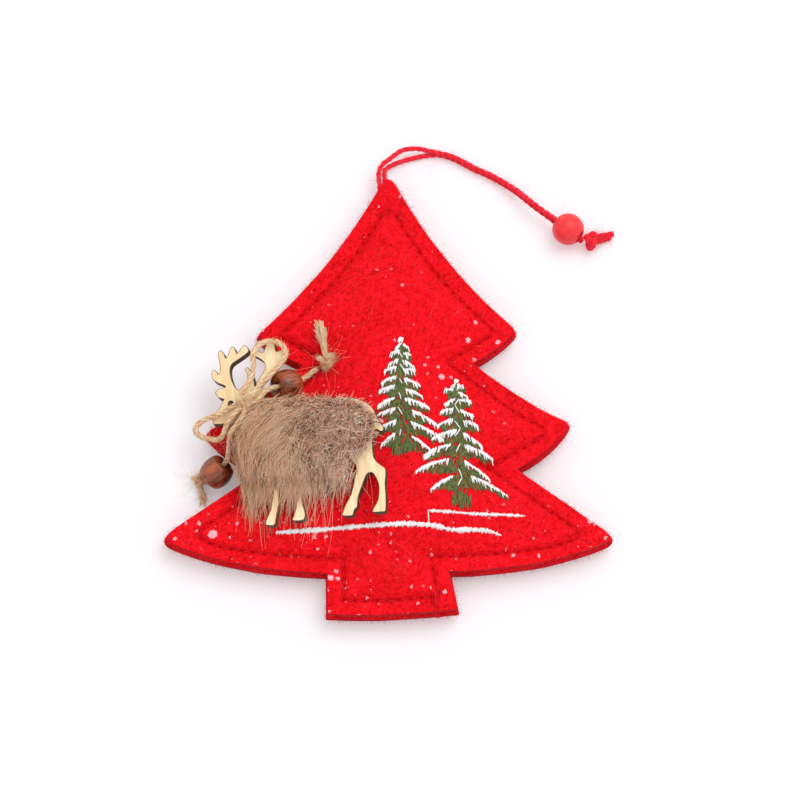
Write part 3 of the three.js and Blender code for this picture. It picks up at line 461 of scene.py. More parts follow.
for side, route, nodes, (bead_at, bead_axis), (end_at, end_radii), end_route, (spread, count) in tails:
    bead_mesh = turned(barrel, bead_at, bead_axis)
    stain = stained(f"{side}_bead_stain", bead_axis)
    bead = piece(f"{side}_barrel_bead", bead_mesh, stain, "brown_wood", f"{side}_jute_bead")
    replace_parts(bead, f"brown_bead_{side}")
    end_line = knot_route(end_at, end_radii, jute_radius)
    brush = frayed(end_route, spread, count, 0.1)
    end_hairs = stray_fibres(end_line, 60, 3.4, 0.034, jute_radius, curl=2.4)
    end_hairs_low = stray_fibres(smooth_route(end_route), 26, 3, 0.03, jute_radius, curl=2.4)
    end_parts = joined(jute_twine(end_line), brush, end_hairs, end_hairs_low)
    end = piece(f"{side}_frayed_knot", end_parts, jute, "jute")
    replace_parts(end, f"jute_end_knot_{side}")
    line = smooth_route(route)
    strand = piece(f"jute_{side}_twine", jute_twine(line), jute, "jute")
    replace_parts(strand, *nodes)
    fuzz = joined(
        stray_fibres(line, 260, 1.1, 0.03, jute_radius),
        stray_fibres(line, 60, 4, 0.026, jute_radius),
    )
    hairs = piece(f"jute_{side}_hairs", fuzz, jute, "jute")

# Two layers of 2 mm red felt cut to a tree, one over the other. The back one shows a little past the
# front one. Stitches pull a groove round them near the edge, and the filling domes the front.
seam_height, felt_thickness, seam_inset = 5, 2, 4.3
front_crown, back_crown = (9, 2), (seam_height - 1.65, 3)
right_marks = [
    (15.1, 98.7), (35.1, 80.5), (30.4, 75.2), (23.4, 70.9), (36.2, 60.2), (49.4, 54), (44.4, 46.1),
    (35, 40.9), (48.5, 31), (61.7, 21.6), (42, 13), (16.6, 12.3), (17.5, 7), (18.6, 1.8),
]
left_marks = [
    (-15, 98.7), (-36, 79), (-30.9, 74), (-23.6, 70.4), (-36, 59), (-49.6, 51.4), (-44.2, 44.6),
    (-35.2, 39.9), (-48.3, 31), (-61.5, 21.4), (-42, 12.7), (-16.3, 11.8), (-16.2, 6), (-16.2, 0.4),
]
side_rounds = [0, 2, 0, 0, 0, 2, 0, 0, 0, 4.5, 0, 0, 0, 0]
side_steps, columns = [64, 18, 34, 22, 36, 50, 12], 60
marks = np.array([(0, 126.5), *right_marks, (-1, -0.6), *left_marks[::-1]])
rounds = np.array([5, *side_rounds, 0, *side_rounds[::-1]])


def bend_curve(start, bend, end, steps):
    """The points (1-t)^2 start + 2 t (1-t) bend + t^2 end at steps values of t below 1."""
    t = (np.arange(steps) / steps)[:, None]
    return (1 - t) ** 2 * start + 2 * t * (1 - t) * bend + t**2 * end


def tree_edge(inset):
    """The tree's edge moved inwards, clockwise from the tip, with as many points at every inset.

    The even marks are corners and the odd ones bends. Each moves by inset (n1 + n2) / (1 + n1 . n2),
    where n1 and n2 are square to the lines that meet in it. Rounded corners are short curves.
    """
    ahead = unit(np.roll(marks, -1, 0) - marks)
    after = np.stack([ahead[:, 1], -ahead[:, 0]], axis=1)
    before = np.roll(after, 1, 0)
    moved = marks + (before + after) * inset / (1 + (before * after).sum(1, keepdims=True))
    to_next, to_last = np.roll(moved, -1, 0) - moved, np.roll(moved, 1, 0) - moved
    leave, arrive = (
        moved + unit(way) * np.minimum(rounds, np.linalg.norm(way, axis=1) / 2)[:, None]
        for way in (to_next, to_last)
    )
    steps = [*side_steps, columns, *side_steps[::-1]]
    parts = []
    for i in range(0, len(marks), 2):
        parts.append(bend_curve(arrive[i], moved[i], leave[i], 8 if rounds[i] else 0))
        parts.append(bend_curve(leave[i], moved[i + 1], arrive[(i + 2) % len(marks)], steps[i // 2]))
    return np.roll(np.concatenate(parts), -4, axis=0)


back_edge = tree_edge(-0.5)
marks = marks - (back_edge.min(0) + back_edge.max(0)) / 2
corners = np.vstack([marks, marks[:1]])
edge_lines = [
    np.vstack([bend_curve(*corners[i : i + 3], 6), corners[i + 2]]) for i in range(0, len(marks), 2)
]


def depth_at(points):
    """Depth inside the edge: (sum over the edges of distance^-4)^(-1/4), rounded off in the corners."""
    total = 0
    for line in edge_lines:
        start, way = line[:-1], np.diff(line, axis=0)
        offset = points[:, None] - start
        share = np.clip((offset * way).sum(-1) / (way**2).sum(-1), 0, 1)[..., None]
        total = total + np.linalg.norm(offset - share * way, axis=-1).min(axis=1) ** -4.0
    return total**-0.25


def crown_height(depth, crown, fullness):
    """Rise of a stuffed felt over the seam: crown (1 - (1 - share)^fullness), over 24 mm of depth.

    The felts also part by 0.15 mm, and by up to 0.35 mm more at their cut edges.
    """
    parting = 0.35 * np.maximum(0, 1 - depth / 3.5)
    return 0.15 + parting + crown * (1 - (1 - np.clip((depth - seam_inset) / 24, 0, 1)) ** fullness)


def lumps(xy, depth):
    """Slow unevenness of the filling, up to 0.4 mm, that fades out towards the seam."""
    x, y = xy[..., 0], xy[..., 1]
    swell = 0.2 * np.sin(0.23 * x + 1) * np.sin(0.19 * y + 2) + 0.12 * np.sin(0.41 * x + 0.33 * y)
    return (swell + 0.07 * np.sin(0.75 * x - 0.6 * y)) * np.clip((depth - 5) / 8, 0, 1)


def cord_bulge(xy):
    """How far the cord's sewn-in ends push each felt outwards near the tip."""
    across = (xy[..., 0] + 0.95 + 0.12 * (xy[..., 1] - 55)) / 2.1
    return 0.6 * np.exp(-(across**4)) * np.clip((xy[..., 1] - 49.5) / 2, 0, 1)


def tree_sheet(insets):
    """A flat mesh of the tree: rings at the insets, and rows across the last one from side to side."""
    rings = [tree_edge(inset) for inset in insets]
    around = len(rings[0])
    side = (around - columns) // 2
    left, right = (-np.arange(side + 1)) % around, np.arange(side + 1)
    share = (np.arange(1, columns) / columns)[:, None]
    starts, ends = rings[-1][left[1:side], None], rings[-1][right[1:side], None]
    inner = (starts * (1 - share) + ends * share).reshape(-1, 2)
    xy = np.concatenate([*rings, inner])
    depth = np.repeat(np.maximum(insets, 0), around)
    depth = np.concatenate([depth, np.maximum(insets[-1], depth_at(inner))])
    rim = np.concatenate([np.repeat(np.array(insets) - insets[0], around), np.full(len(inner), 9.0)])
    index = np.arange(len(insets) * around).reshape(len(insets), around)
    out, into = index[:-1], index[1:]
    bands = np.stack([np.roll(out, -1, 1), out, into, np.roll(into, -1, 1)], axis=-1).reshape(-1, 4)
    last = index[-1]
    rows = np.empty((side + 1, columns + 1), dtype=int)
    rows[:, 0], rows[:, -1], rows[0] = last[left], last[right], last[0]
    rows[1:side, 1:-1] = index.size + np.arange(len(inner)).reshape(side - 1, columns - 1)
    rows[side] = last[side + columns - np.arange(columns + 1)]
    rows = rows[::-1]
    a, b, c, d = rows[:-2, :-1], rows[:-2, 1:], rows[1:-1, 1:], rows[1:-1, :-1]
    fill = np.stack([a, b, c, d], axis=-1).reshape(-1, 4)
    tip = np.stack([rows[-2, :-1], rows[-2, 1:], rows[-1, 1:]], axis=-1)
    return xy, depth, rim, around, [np.concatenate([bands, fill]), tip]


def between_faces(sheet, low, high, rounding):
    """A closed body over a flat mesh: its points at the heights high and low, with a rounded rim."""
    xy, _, rim, around, faces = sheet
    fall = rounding * (1 - np.sqrt(1 - np.clip(1 - rim / rounding, 0, 1) ** 2))
    a = np.arange(around)
    b = np.roll(a, -1)
    walls = np.stack([a, b, b + len(xy), a + len(xy)], axis=-1)
    points = np.concatenate([raised(xy, high - fall), raised(xy, low + fall)])
    return points, [*faces, *(face[:, ::-1] + len(xy) for face in faces), walls]


front_insets = [
    0, 0.05, 0.15, 0.3, 0.6, 1, 1.5, 2, 2.5, 2.9, 3.2, 3.45, 3.7, 3.95, 4.15, 4.3, 4.45, 4.65, 4.9,
    5.2, 5.6, 6,
]
back_insets = [-0.5, -0.45, -0.35, -0.2, *front_insets[4:]]
seam_line = tree_edge(seam_inset)
closed_seam = np.vstack([seam_line, seam_line[:1]])
seam_run = run_along(closed_seam)
stitch_count = round(seam_run[-1] / 3)
stitch_length = seam_run[-1] / stitch_count
seam_turns = 2 * np.pi * seam_run[:-1] / seam_run[-1]


def seam_pull(sheet):
    """The turn round the tree, the pull of the stitches at each needle hole, and the seam's groove."""
    _, depth, _, around, _ = sheet
    point = np.arange(len(depth))
    turns = np.where(depth < front_insets[-1] + 0.3, seam_turns[point % around], 0)
    holes = np.where(point < len(front_insets) * around, 0.5 + 0.5 * np.cos(stitch_count * turns), 0)
    groove_reach = 0.75
    groove = np.maximum(0, 1 - np.abs(depth - seam_inset) / groove_reach) ** 1.2
    return turns, holes, groove


def felt_heights(sheet, front):
    """Lower and upper face of a felt. The seam thins it, most at each needle hole, and waves its rim."""
    xy, depth = sheet[:2]
    turns, holes, groove = seam_pull(sheet)
    thin = 0.6 * groove + 0.25 * holes * np.exp(-(((depth - seam_inset) / 1.2) ** 2))
    wave = np.clip(1 - depth / seam_inset, 0, 1) * (
        0.16 * np.sin(23 * turns) + 0.1 * np.sin(41 * turns + 1) + 0.06 * np.sin(stitch_count * turns)
    )
    if front:
        under = seam_height + crown_height(depth, *front_crown) + cord_bulge(xy) + lumps(xy, depth) + wave
        return under, under + felt_thickness - thin
    rise = crown_height(depth, *back_crown) + cord_bulge(xy)
    top = np.maximum(felt_thickness, seam_height - rise + wave)
    return top - felt_thickness + thin, top


def felt_finish(name, specks):
    """Needled wool felt: fibres in three directions, dark flecks, snow specks, a cut edge grey in patches,
    and painted shade on that edge and in the seam's groove.
    """
    finish = Finish(name, roughness=0.95, specular_ior_level=0.08)
    fibres = [finish.noise(1.5, stretch=(5, 1, 1), turn=(0, 0, a), detail=3) for a in (0.3, 1.4, 2.4)]
    mass = (fibres[0] + fibres[1] + fibres[2]) * 0.34
    red = mass.between(0.4, 0.6).blend((0.68, 0.003, 0.008), (0.97, 0.009, 0.017))
    thick = finish.noise(0.09, detail=2).between(0.35, 0.7)
    flecks = finish.noise(1.3, stretch=(2.2, 0.8, 1), turn=(0, 0, 0.9), detail=4) + thick * 0.07
    flecks = flecks.between(0.63, 0.76)
    red = (flecks * 0.7).blend(red, (0.2, 0.002, 0.008))
    red = (thick * 0.22).blend(red, (0.6, 0.002, 0.006))
    if specks:
        rarer = (finish.noise(0.035, detail=1) - 0.5) * 0.5
        height = finish.node("ShaderNodeSeparateXYZ", output=1, inputs={0: finish.place})
        rarer = rarer + height.between(-44, -26) * 0.17
        for scale, rare, size, strength in ((0.2, 0.29, 0.4, 0.75), (0.44, 0.26, 0.36, 0.7)):
            flat = finish.turned_place((1, 1, 1000), (0, 0, 0))
            cells = finish.node("ShaderNodeTexVoronoi", inputs={"Vector": flat, "Scale": scale})
            ragged = (finish.noise(2.2, detail=1) - 0.5) * (scale * 1.1)
            edge = (cells.twin(1) - rarer - rare) * size - cells - ragged
            red = (edge.between(0, 0.03) * strength).blend(red, (0.95, 0.6, 0.66))
    cut = finish.attribute("cut")
    # The cut edge is greyer in patches, as cut felt is, and darker, which is painted shade of the felt's
    # side.
    cut_grey_and_shade = finish.noise(2.2, stretch=(1, 1, 1.4), detail=3).between(0.35, 0.7)
    cut_grey_and_shade = cut_grey_and_shade.blend((0.3, 0.004, 0.01), (0.72, 0.014, 0.024))
    greyed = finish.noise(0.13, detail=2).between(0.52, 0.7) * 0.4
    cut_grey_and_shade = greyed.blend(cut_grey_and_shade, (0.3, 0.06, 0.07))
    # Painted shade: the felt is darkened in the seam's groove, most at each needle hole, where shade falls.
    red = (finish.attribute("seam") * 0.72).blend(red, (0.33, 0.001, 0.006))
    finish.set(base_color=cut.blend(red, cut_grey_and_shade))
    finish.bump(mass * 1.4 + finish.noise(0.9, detail=3) * 0.8 + flecks * -0.2, 0.28)
    return finish


panels = {}
for name, insets in (("front", front_insets), ("back", back_insets)):
    finish = felt_finish(f"red_felt_{name}", specks=name == "front")
    sheet = tree_sheet(insets)
    low, high = felt_heights(sheet, name == "front")
    rim = sheet[2]
    # The cut layer marks the felt's side, which is painted grey in patches and darker as painted shade.
    cut = np.clip(1 - rim / 0.16, 0, 1)
    body = between_faces(sheet, low, high, 0.3)
    _, holes, groove = seam_pull(sheet)
    # The seam layer says where shade is painted: along the groove, darkest at the needle holes.
    layers = {"cut": np.tile(cut, 2), "seam": np.tile(groove * (0.35 + 0.65 * holes), 2)}
    felt = piece(f"{name}_felt", body, finish, "red_felt", **layers)
    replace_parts(felt, f"felt_{name}_panel")
    panels[name] = (sheet, low, high)

# Heights of the front felt on a grid of half millimetres, for all that lies on it.
grid_edge, grid_step = 66, 0.5
grid_line = np.arange(-grid_edge, grid_edge + 0.1, grid_step)
grid = np.stack(np.meshgrid(grid_line, grid_line), axis=-1).reshape(-1, 2)
rim_line = tree_edge(0)
ahead = np.roll(rim_line, -1, 0)
crossed = (rim_line[:, 1] > grid[:, 1:]) != (ahead[:, 1] > grid[:, 1:])
climb = np.where(ahead[:, 1] == rim_line[:, 1], 1e-9, ahead[:, 1] - rim_line[:, 1])
slope = (ahead[:, 0] - rim_line[:, 0]) / climb
left_of = grid[:, :1] < rim_line[:, 0] + (grid[:, 1:] - rim_line[:, 1]) * slope
inside = (crossed & left_of).sum(axis=1) % 2 == 1
grid_depth = depth_at(grid)
grid_top = seam_height + felt_thickness + crown_height(grid_depth, *front_crown) + lumps(grid, grid_depth)
felt_map = np.where(inside, grid_top, 0).reshape(len(grid_line), -1)


def felt_top(xy):
    """Height of the front felt's face, or of the table, between the grid's four nearest points."""
    at = np.clip((np.asarray(xy) + grid_edge) / grid_step, 0, len(grid_line) - 1.001)
    i, j = at[..., 1].astype(int), at[..., 0].astype(int)
    v, u = at[..., 1] - i, at[..., 0] - j
    low = felt_map[i, j] * (1 - u) + felt_map[i, j + 1] * u
    return low * (1 - v) + (felt_map[i + 1, j] * (1 - u) + felt_map[i + 1, j + 1] * u) * v


# Loose wool fibres of the two felts. Short ones stand off both cut edges, where the blade pulled
# them out, and fine curled ones lie on the front's face.
fuzz_finish = Finish("felt_fibres", roughness=1.0)
fuzz_shade = fuzz_finish.attribute("shade")
fuzz_finish.set(base_color=fuzz_shade.blend((0.55, 0.012, 0.02), (0.9, 0.13, 0.14)))
fuzz_parts = []
edge_count, edge_rings, face_count, face_rings, lowest_face = 2600, 4, 1500, 6, 6.8
for name, inset in (("front", 0.05), ("back", -0.45)):
    sheet, low, high = panels[name]
    edge = tree_edge(inset)
    start = rng.integers(0, len(edge), edge_count)
    ahead = np.roll(edge, -1, 0) - edge
    outward = unit(np.stack([-ahead[:, 1], ahead[:, 0]], axis=1))[start]
    height = low[start] + (high[start] - low[start]) * rng.uniform(0.03, 0.97, edge_count)
    root = raised(edge[start] + ahead[start] * rng.uniform(0, 1, (edge_count, 1)), height)
    way = unit(raised(outward, 0) * 0.8 + rng.normal(size=(edge_count, 3)) * 0.55)
    t = np.linspace(0, 1, edge_rings)[:, None]
    long = rng.uniform(0.25, 1, (edge_count, 1, 1)) ** 2 * 1.1
    curl = unit(rng.normal(size=(edge_count, 1, 3)))
    edge_fibres = root[:, None] + way[:, None] * long * t + curl * long * 0.6 * t**2
    edge_fibres[..., 2] = np.maximum(edge_fibres[..., 2], 0.05)
    fuzz_parts.append(strands(edge_fibres, 0.028))
loose = rng.uniform(-60, 60, (face_count, 2))
loose = loose[felt_top(loose) > lowest_face]
turn = rng.uniform(0, 2 * np.pi, (len(loose), 1))
turn = turn + np.linspace(0, 1.4, face_rings) * rng.normal(size=(len(loose), 1))
long = rng.uniform(0.1, 1, (len(loose), 1)) ** 3 * 1.3 + 0.12
steps = np.stack([np.cos(turn), np.sin(turn)], axis=-1) * long[..., None]
flat = loose[:, None] + np.cumsum(steps, axis=1)
flat = flat[(felt_top(flat) > lowest_face).all(axis=1)]
arch = 0.02 + 0.1 * np.sin(np.linspace(0, 3.1, face_rings))
fuzz_parts.append(strands(raised(flat, felt_top(flat) + arch), 0.03))
edge_shades = np.repeat(rng.uniform(0, 0.6, 2 * edge_count), edge_rings * hair_sides)
face_shades = np.repeat(rng.uniform(0.1, 1, len(flat)) ** 2, face_rings * hair_sides)
shades = np.concatenate([edge_shades, face_shades])
piece("felt_loose_fibres", joined(*fuzz_parts), fuzz_finish, "red_felt", shade=shades)

# Polyester wadding, pushed in at the tree's foot before the seam was closed there. It is one soft
# lumpy body that fills the space between the felts.
wadding = Finish("white_filling", roughness=1.0, sheen_weight=0.3)
tufts = wadding.noise(0.7, detail=4)
wadding.set(base_color=tufts.between(0.3, 0.7).blend((0.78, 0.76, 0.72), (0.93, 0.92, 0.9)))
wadding.bump(tufts, 0.5)
sheet = tree_sheet([5.9, 6.1, 6.6])
xy, depth = sheet[:2]
gap_to_felt = 0.12
roof = seam_height + crown_height(depth, *front_crown) + lumps(xy, depth) - gap_to_felt
floor = np.maximum(felt_thickness, seam_height - crown_height(depth, *back_crown)) + gap_to_felt
stuffing = between_faces(sheet, floor, np.maximum(roof, floor + 0.1), 0.04)
filling = piece("polyester_filling", stuffing, wadding, "white_filling")
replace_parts(filling, "fibre_filling")

# Machine stitches of red sewing thread, 3 mm apart, that dip into the felt at each needle hole. At
# the tree's foot the thread goes back and forth over the edge to close the opening for the filling.
red_thread = spun_fibre("red_thread", (0.62, 0.003, 0.008), (0.93, 0.01, 0.02), 0)
t = np.linspace(0, 1, 9)
for name, node, on_top in (("front", "seam_needle_thread", True), ("back", "seam_bobbin_thread", False)):
    run = (np.arange(stitch_count)[:, None] + 0.08 + 0.84 * t) * stitch_length
    xy = np.stack([np.interp(run, seam_run, closed_seam[:, k]) for k in (0, 1)], axis=-1)
    sheet, low, high = panels[name]
    around = sheet[3]
    first = front_insets.index(seam_inset) * around
    surface = (high if on_top else low)[first : first + around]
    height = np.interp(run, seam_run, np.append(surface, surface[0]))
    lift = (0.18 - 0.42 * (2 * t - 1) ** 6) * (1 if on_top else -1)
    body = strands(raised(xy, height + lift), 0.21 * (1 - 0.3 * (2 * t - 1) ** 4), 6)
    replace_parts(piece(f"{name}_stitches", body, red_thread, "red_thread"), node)
foot_x = 12.6 + np.linspace(-0.75, 0.75, 8)
hoop = np.array([
    (0, -53.2, 6.4), (0, -54, 6.95), (0.1, -56, 7.45), (0.2, -58.6, 7.5),
    (0.25, -60.6, 7.3), (0.3, -61.5, 6.4), (0.3, -61.7, 4.5), (0.3, -61.5, 2.8),
])
sway = rng.uniform(-0.22, 0.22, (len(foot_x), len(hoop), 1)) * (1, 0, 0)
bars = [smooth_route(hoop + sway[i] + (x, rng.uniform(-0.5, 0.9), 0), 0.5) for i, x in enumerate(foot_x)]
bars = joined(*[strands(bar[None], 0.16, 6, over=(1, 0.1, 0.1)) for bar in bars])
piece("closing_stitches", bars, red_thread, "red_thread")

# Two firs stitched in green with white snow on their branches, over a long and a short line of snow.
# Green stitches hang from each branch in ragged rows, and satin stitches of snow lie across it.
threads = {}
for name, roughness, dark, light, depth in (
    ("green_thread", 0.6, (0.042, 0.066, 0.008), (0.17, 0.225, 0.033), 0.08),
    ("white_thread", 0.55, (0.94, 0.92, 0.94), (1, 1, 1), 0.06),
):
    thread = Finish(name, roughness=roughness, sheen_weight=0.2)
    thread.set(base_color=thread.attribute("shade").blend(dark, light))
    thread.bump(thread.noise(4.5), depth)
    threads[name] = thread


def embroidery(name, starts, ends, lifts, arch, slot):
    """Threads on the felt: start (1 - t) + end t, at felt + lift + arch (1 - (2 t - 1)^4) - 0.12."""
    rings, sides = 6, 4
    t = np.linspace(0, 1, rings)[:, None]
    xy = starts[:, None] * (1 - t) + ends[:, None] * t
    bulge = (2 * t[:, 0] - 1) ** 4
    rise = rng.uniform(*lifts, (len(starts), 1)) + arch * (1 - bulge) - 0.12
    body = strands(raised(xy, felt_top(xy) + rise), 0.17 * (1 - 0.35 * bulge), sides)
    shade = np.repeat(rng.uniform(0, 1, len(starts)), rings * sides)
    return piece(name, body, threads[slot], slot, shade=shade)


def branch_line(trunk, tip, u):
    """Points of a branch that arches a little: trunk (1 - u) + tip u + 0.09 width 4 u (1 - u) upwards."""
    arch = np.outer(4 * u * (1 - u), (0, 0.09)) * abs(tip[0] - trunk[0])
    return trunk * (1 - u[:, None]) + tip * u[:, None] + arch


tall_fir = [
    (3.4, 12.4, 1.9, 10.6), (3.5, 11.8, 5.4, 11), (3.3, 9.9, 0.7, 9.3), (3.6, 9.2, 6.1, 9),
    (3.4, 7.6, 0.1, 5.9), (3.6, 7.3, 6.9, 5.6), (3.3, 5, -0.9, 4.2), (3.7, 4.4, 7.3, 4.6),
    (3.3, 2.5, -1.9, 0.6), (3.7, 1.7, 8.4, 0.4), (3.2, -0.5, -2.5, -1.7), (3.8, -1.2, 9.2, -3.1),
    (3.2, -3.6, -2.8, -6), (3.9, -4.1, 11, -6.3), (3.1, -6.9, -3.3, -8.9), (4, -7, 12.9, -11),
    (3.1, -10, -3.1, -13.2), (4.2, -10.4, 14.6, -15.4), (3.2, -13.4, -2, -17), (4.3, -13.8, 12, -19),
]
small_fir = [
    (18.4, 2.2, 17, 0.6), (18.6, 1.6, 20.6, 1.3), (18.4, -0.4, 15.4, -0.2), (18.7, -0.9, 21.4, -2),
    (18.5, -3, 15.2, -4.8), (18.8, -3.6, 22.4, -3.4), (18.6, -6, 14.2, -7.2), (18.9, -6.6, 22.9, -8),
    (18.7, -9, 13.4, -11.4), (19, -9.8, 24.2, -10.8), (18.9, -12.6, 11.9, -15.2), (19.1, -13, 25.4, -16.4),
    (19, -16.4, 9.6, -20), (19.3, -16.8, 28, -19.2), (19.1, -20.6, 7.6, -24.4), (19.4, -20.8, 27.4, -25.4),
    (19.2, -24.8, 11.6, -29.2), (19.5, -24.6, 32, -29.8),
]
core_count, skirt_count, hop_count = 190, 70, 15
for name, branches, trunk in (
    ("tall", tall_fir, [(3.3, 13.4), (3.6, -18.6)]),
    ("small", small_fir, [(18.4, 3), (19.7, -32.6)]),
):
    green_starts, green_ends, snow_starts, snow_ends = [], [], [], []
    for start, tip in np.reshape(branches, (-1, 2, 2)):
        width = abs(tip[0] - start[0])
        side = np.sign(tip[0] - start[0])
        along = unit(tip - start)
        count = int(width / 0.25) + 5
        for row in (0, 0.65, 1.3, 1.95, 2.6):
            u = np.sort(rng.uniform(0.02, 1, count))
            u = u[u < 1.02 - 0.27 * row + 0.15 * np.sin(7 * u + start[1])]
            at = branch_line(start, tip, u) - (0, row) + rng.normal(size=(len(u), 2)) * (0.1, 0.16)
            fall = rng.uniform(0.6, 1.5, (len(u), 1))
            way = unit(along * rng.uniform(-0.1, 1.1, (len(u), 1)) + (0, -1))
            green_starts.append(at)
            green_ends.append(at + way * fall)
        u = np.arange(rng.uniform(0.08, 0.3), 1.03, 0.2 / width)
        u = u[rng.uniform(size=len(u)) < 0.94]
        at = branch_line(start, tip, u) + rng.normal(size=(len(u), 2)) * 0.06
        half = 0.4 + 0.13 * np.sin(9 * u + 3 * start[1])[:, None] + 0.03 * min(width, 6)
        drip = (rng.uniform(size=(len(u), 1)) < 0.35) * rng.uniform(0.3, 1.3, (len(u), 1))
        across = np.array([-0.25 * side, 1])
        snow_starts.append(at + across * half * rng.uniform(0.8, 1.15, (len(u), 1)))
        snow_ends.append(at - across * (half * 0.7 + drip))
    top, foot = np.array(trunk)
    u = np.linspace(0, 1, core_count)[:, None]
    core = top * (1 - u) + foot * u
    core = core + rng.normal(size=(core_count, 2)) * ((0.15, 0.1) + u * (0.5, 0))
    green_starts.append(core)
    green_ends.append(core + rng.normal(size=(core_count, 2)) * (0.35, 0.2) - (0, 1.3))
    up = rng.uniform(0, 1, (skirt_count, 1))
    skirt = foot + (0, 4.4) * up + rng.uniform(-1, 1, (skirt_count, 1)) * (2.6, 0)
    green_starts.append(skirt)
    green_ends.append(skirt - (0, 1) * rng.uniform(1, 1.9, (skirt_count, 1)))
    cap = top + np.stack([np.linspace(-0.5, 0.6, 8), 0.15 - np.linspace(-0.4, 0.5, 8) ** 2], axis=1)
    snow_starts.append(cap + (0.1, 0.5))
    snow_ends.append(cap - rng.uniform((-0.1, 0.3), (0.2, 1.1), (8, 2)))
    hops = np.linspace(0.03, 0.93, hop_count)[:, None]
    vein = top * (1 - hops) + foot * hops + rng.normal(size=(hop_count, 2)) * (0.3, 0.2)
    vein[:, 0] += 0.5 * (-1) ** np.arange(hop_count)
    shown = rng.uniform(size=hop_count - 1) < 0.6
    snow_starts.append(vein[:-1][shown])
    snow_ends.append(vein[1:][shown])
    starts, ends = np.concatenate(green_starts), np.concatenate(green_ends)
    needles = embroidery(f"{name}_fir_needles", starts, ends, (0.06, 0.32), 0.12, "green_thread")
    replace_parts(needles, f"fir_{name}_embroidery")
    starts, ends = np.concatenate(snow_starts), np.concatenate(snow_ends)
    embroidery(f"{name}_fir_snow", starts, ends, (0.42, 0.56), 0.16, "white_thread")

long_line = [
    (-30.1, -40.2), (-21, -39.7), (-13.2, -39.1), (-2.3, -38.7), (10.8, -38.3), (17.3, -39.4),
    (25.5, -39.6), (30.3, -40.8),
]
short_line = [(10.7, -34.6), (17, -34.9), (24, -35.4), (30, -35.5), (36.8, -35.6)]
# One stitch of the short line hangs from its left end down to the long one.
hanging_stitch = np.array([[(10.75, -34.7)], [(10.9, -37.9)]])
for name, points, width, more in (
    ("long", long_line, 1.5, np.empty((2, 0, 2))),
    ("short", short_line, 1.0, hanging_stitch),
):
    line = smooth_route(points, 0.3)
    count = len(line)
    share = np.linspace(0, 1, count)[:, None]
    half = width / 2 * (0.85 + 0.2 * np.sin(31 * share) * np.sin(17 * share + 1))
    half = half * np.minimum(1, 0.35 + 6 * (1 - share)) * np.minimum(1, 0.4 + 7 * share)
    half = half + rng.uniform(-0.27, 0.2, (count, 1))
    lean = np.array([0.35, 1])
    starts = np.concatenate([line + lean * half, more[0]])
    ends = np.concatenate([line - lean * half * rng.uniform(0.8, 1.1, (count, 1)), more[1]])
    snow = embroidery(f"{name}_snow_stitches", starts, ends, (0.06, 0.34), 0.26, "white_thread")
    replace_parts(snow, f"snow_line_{name}")

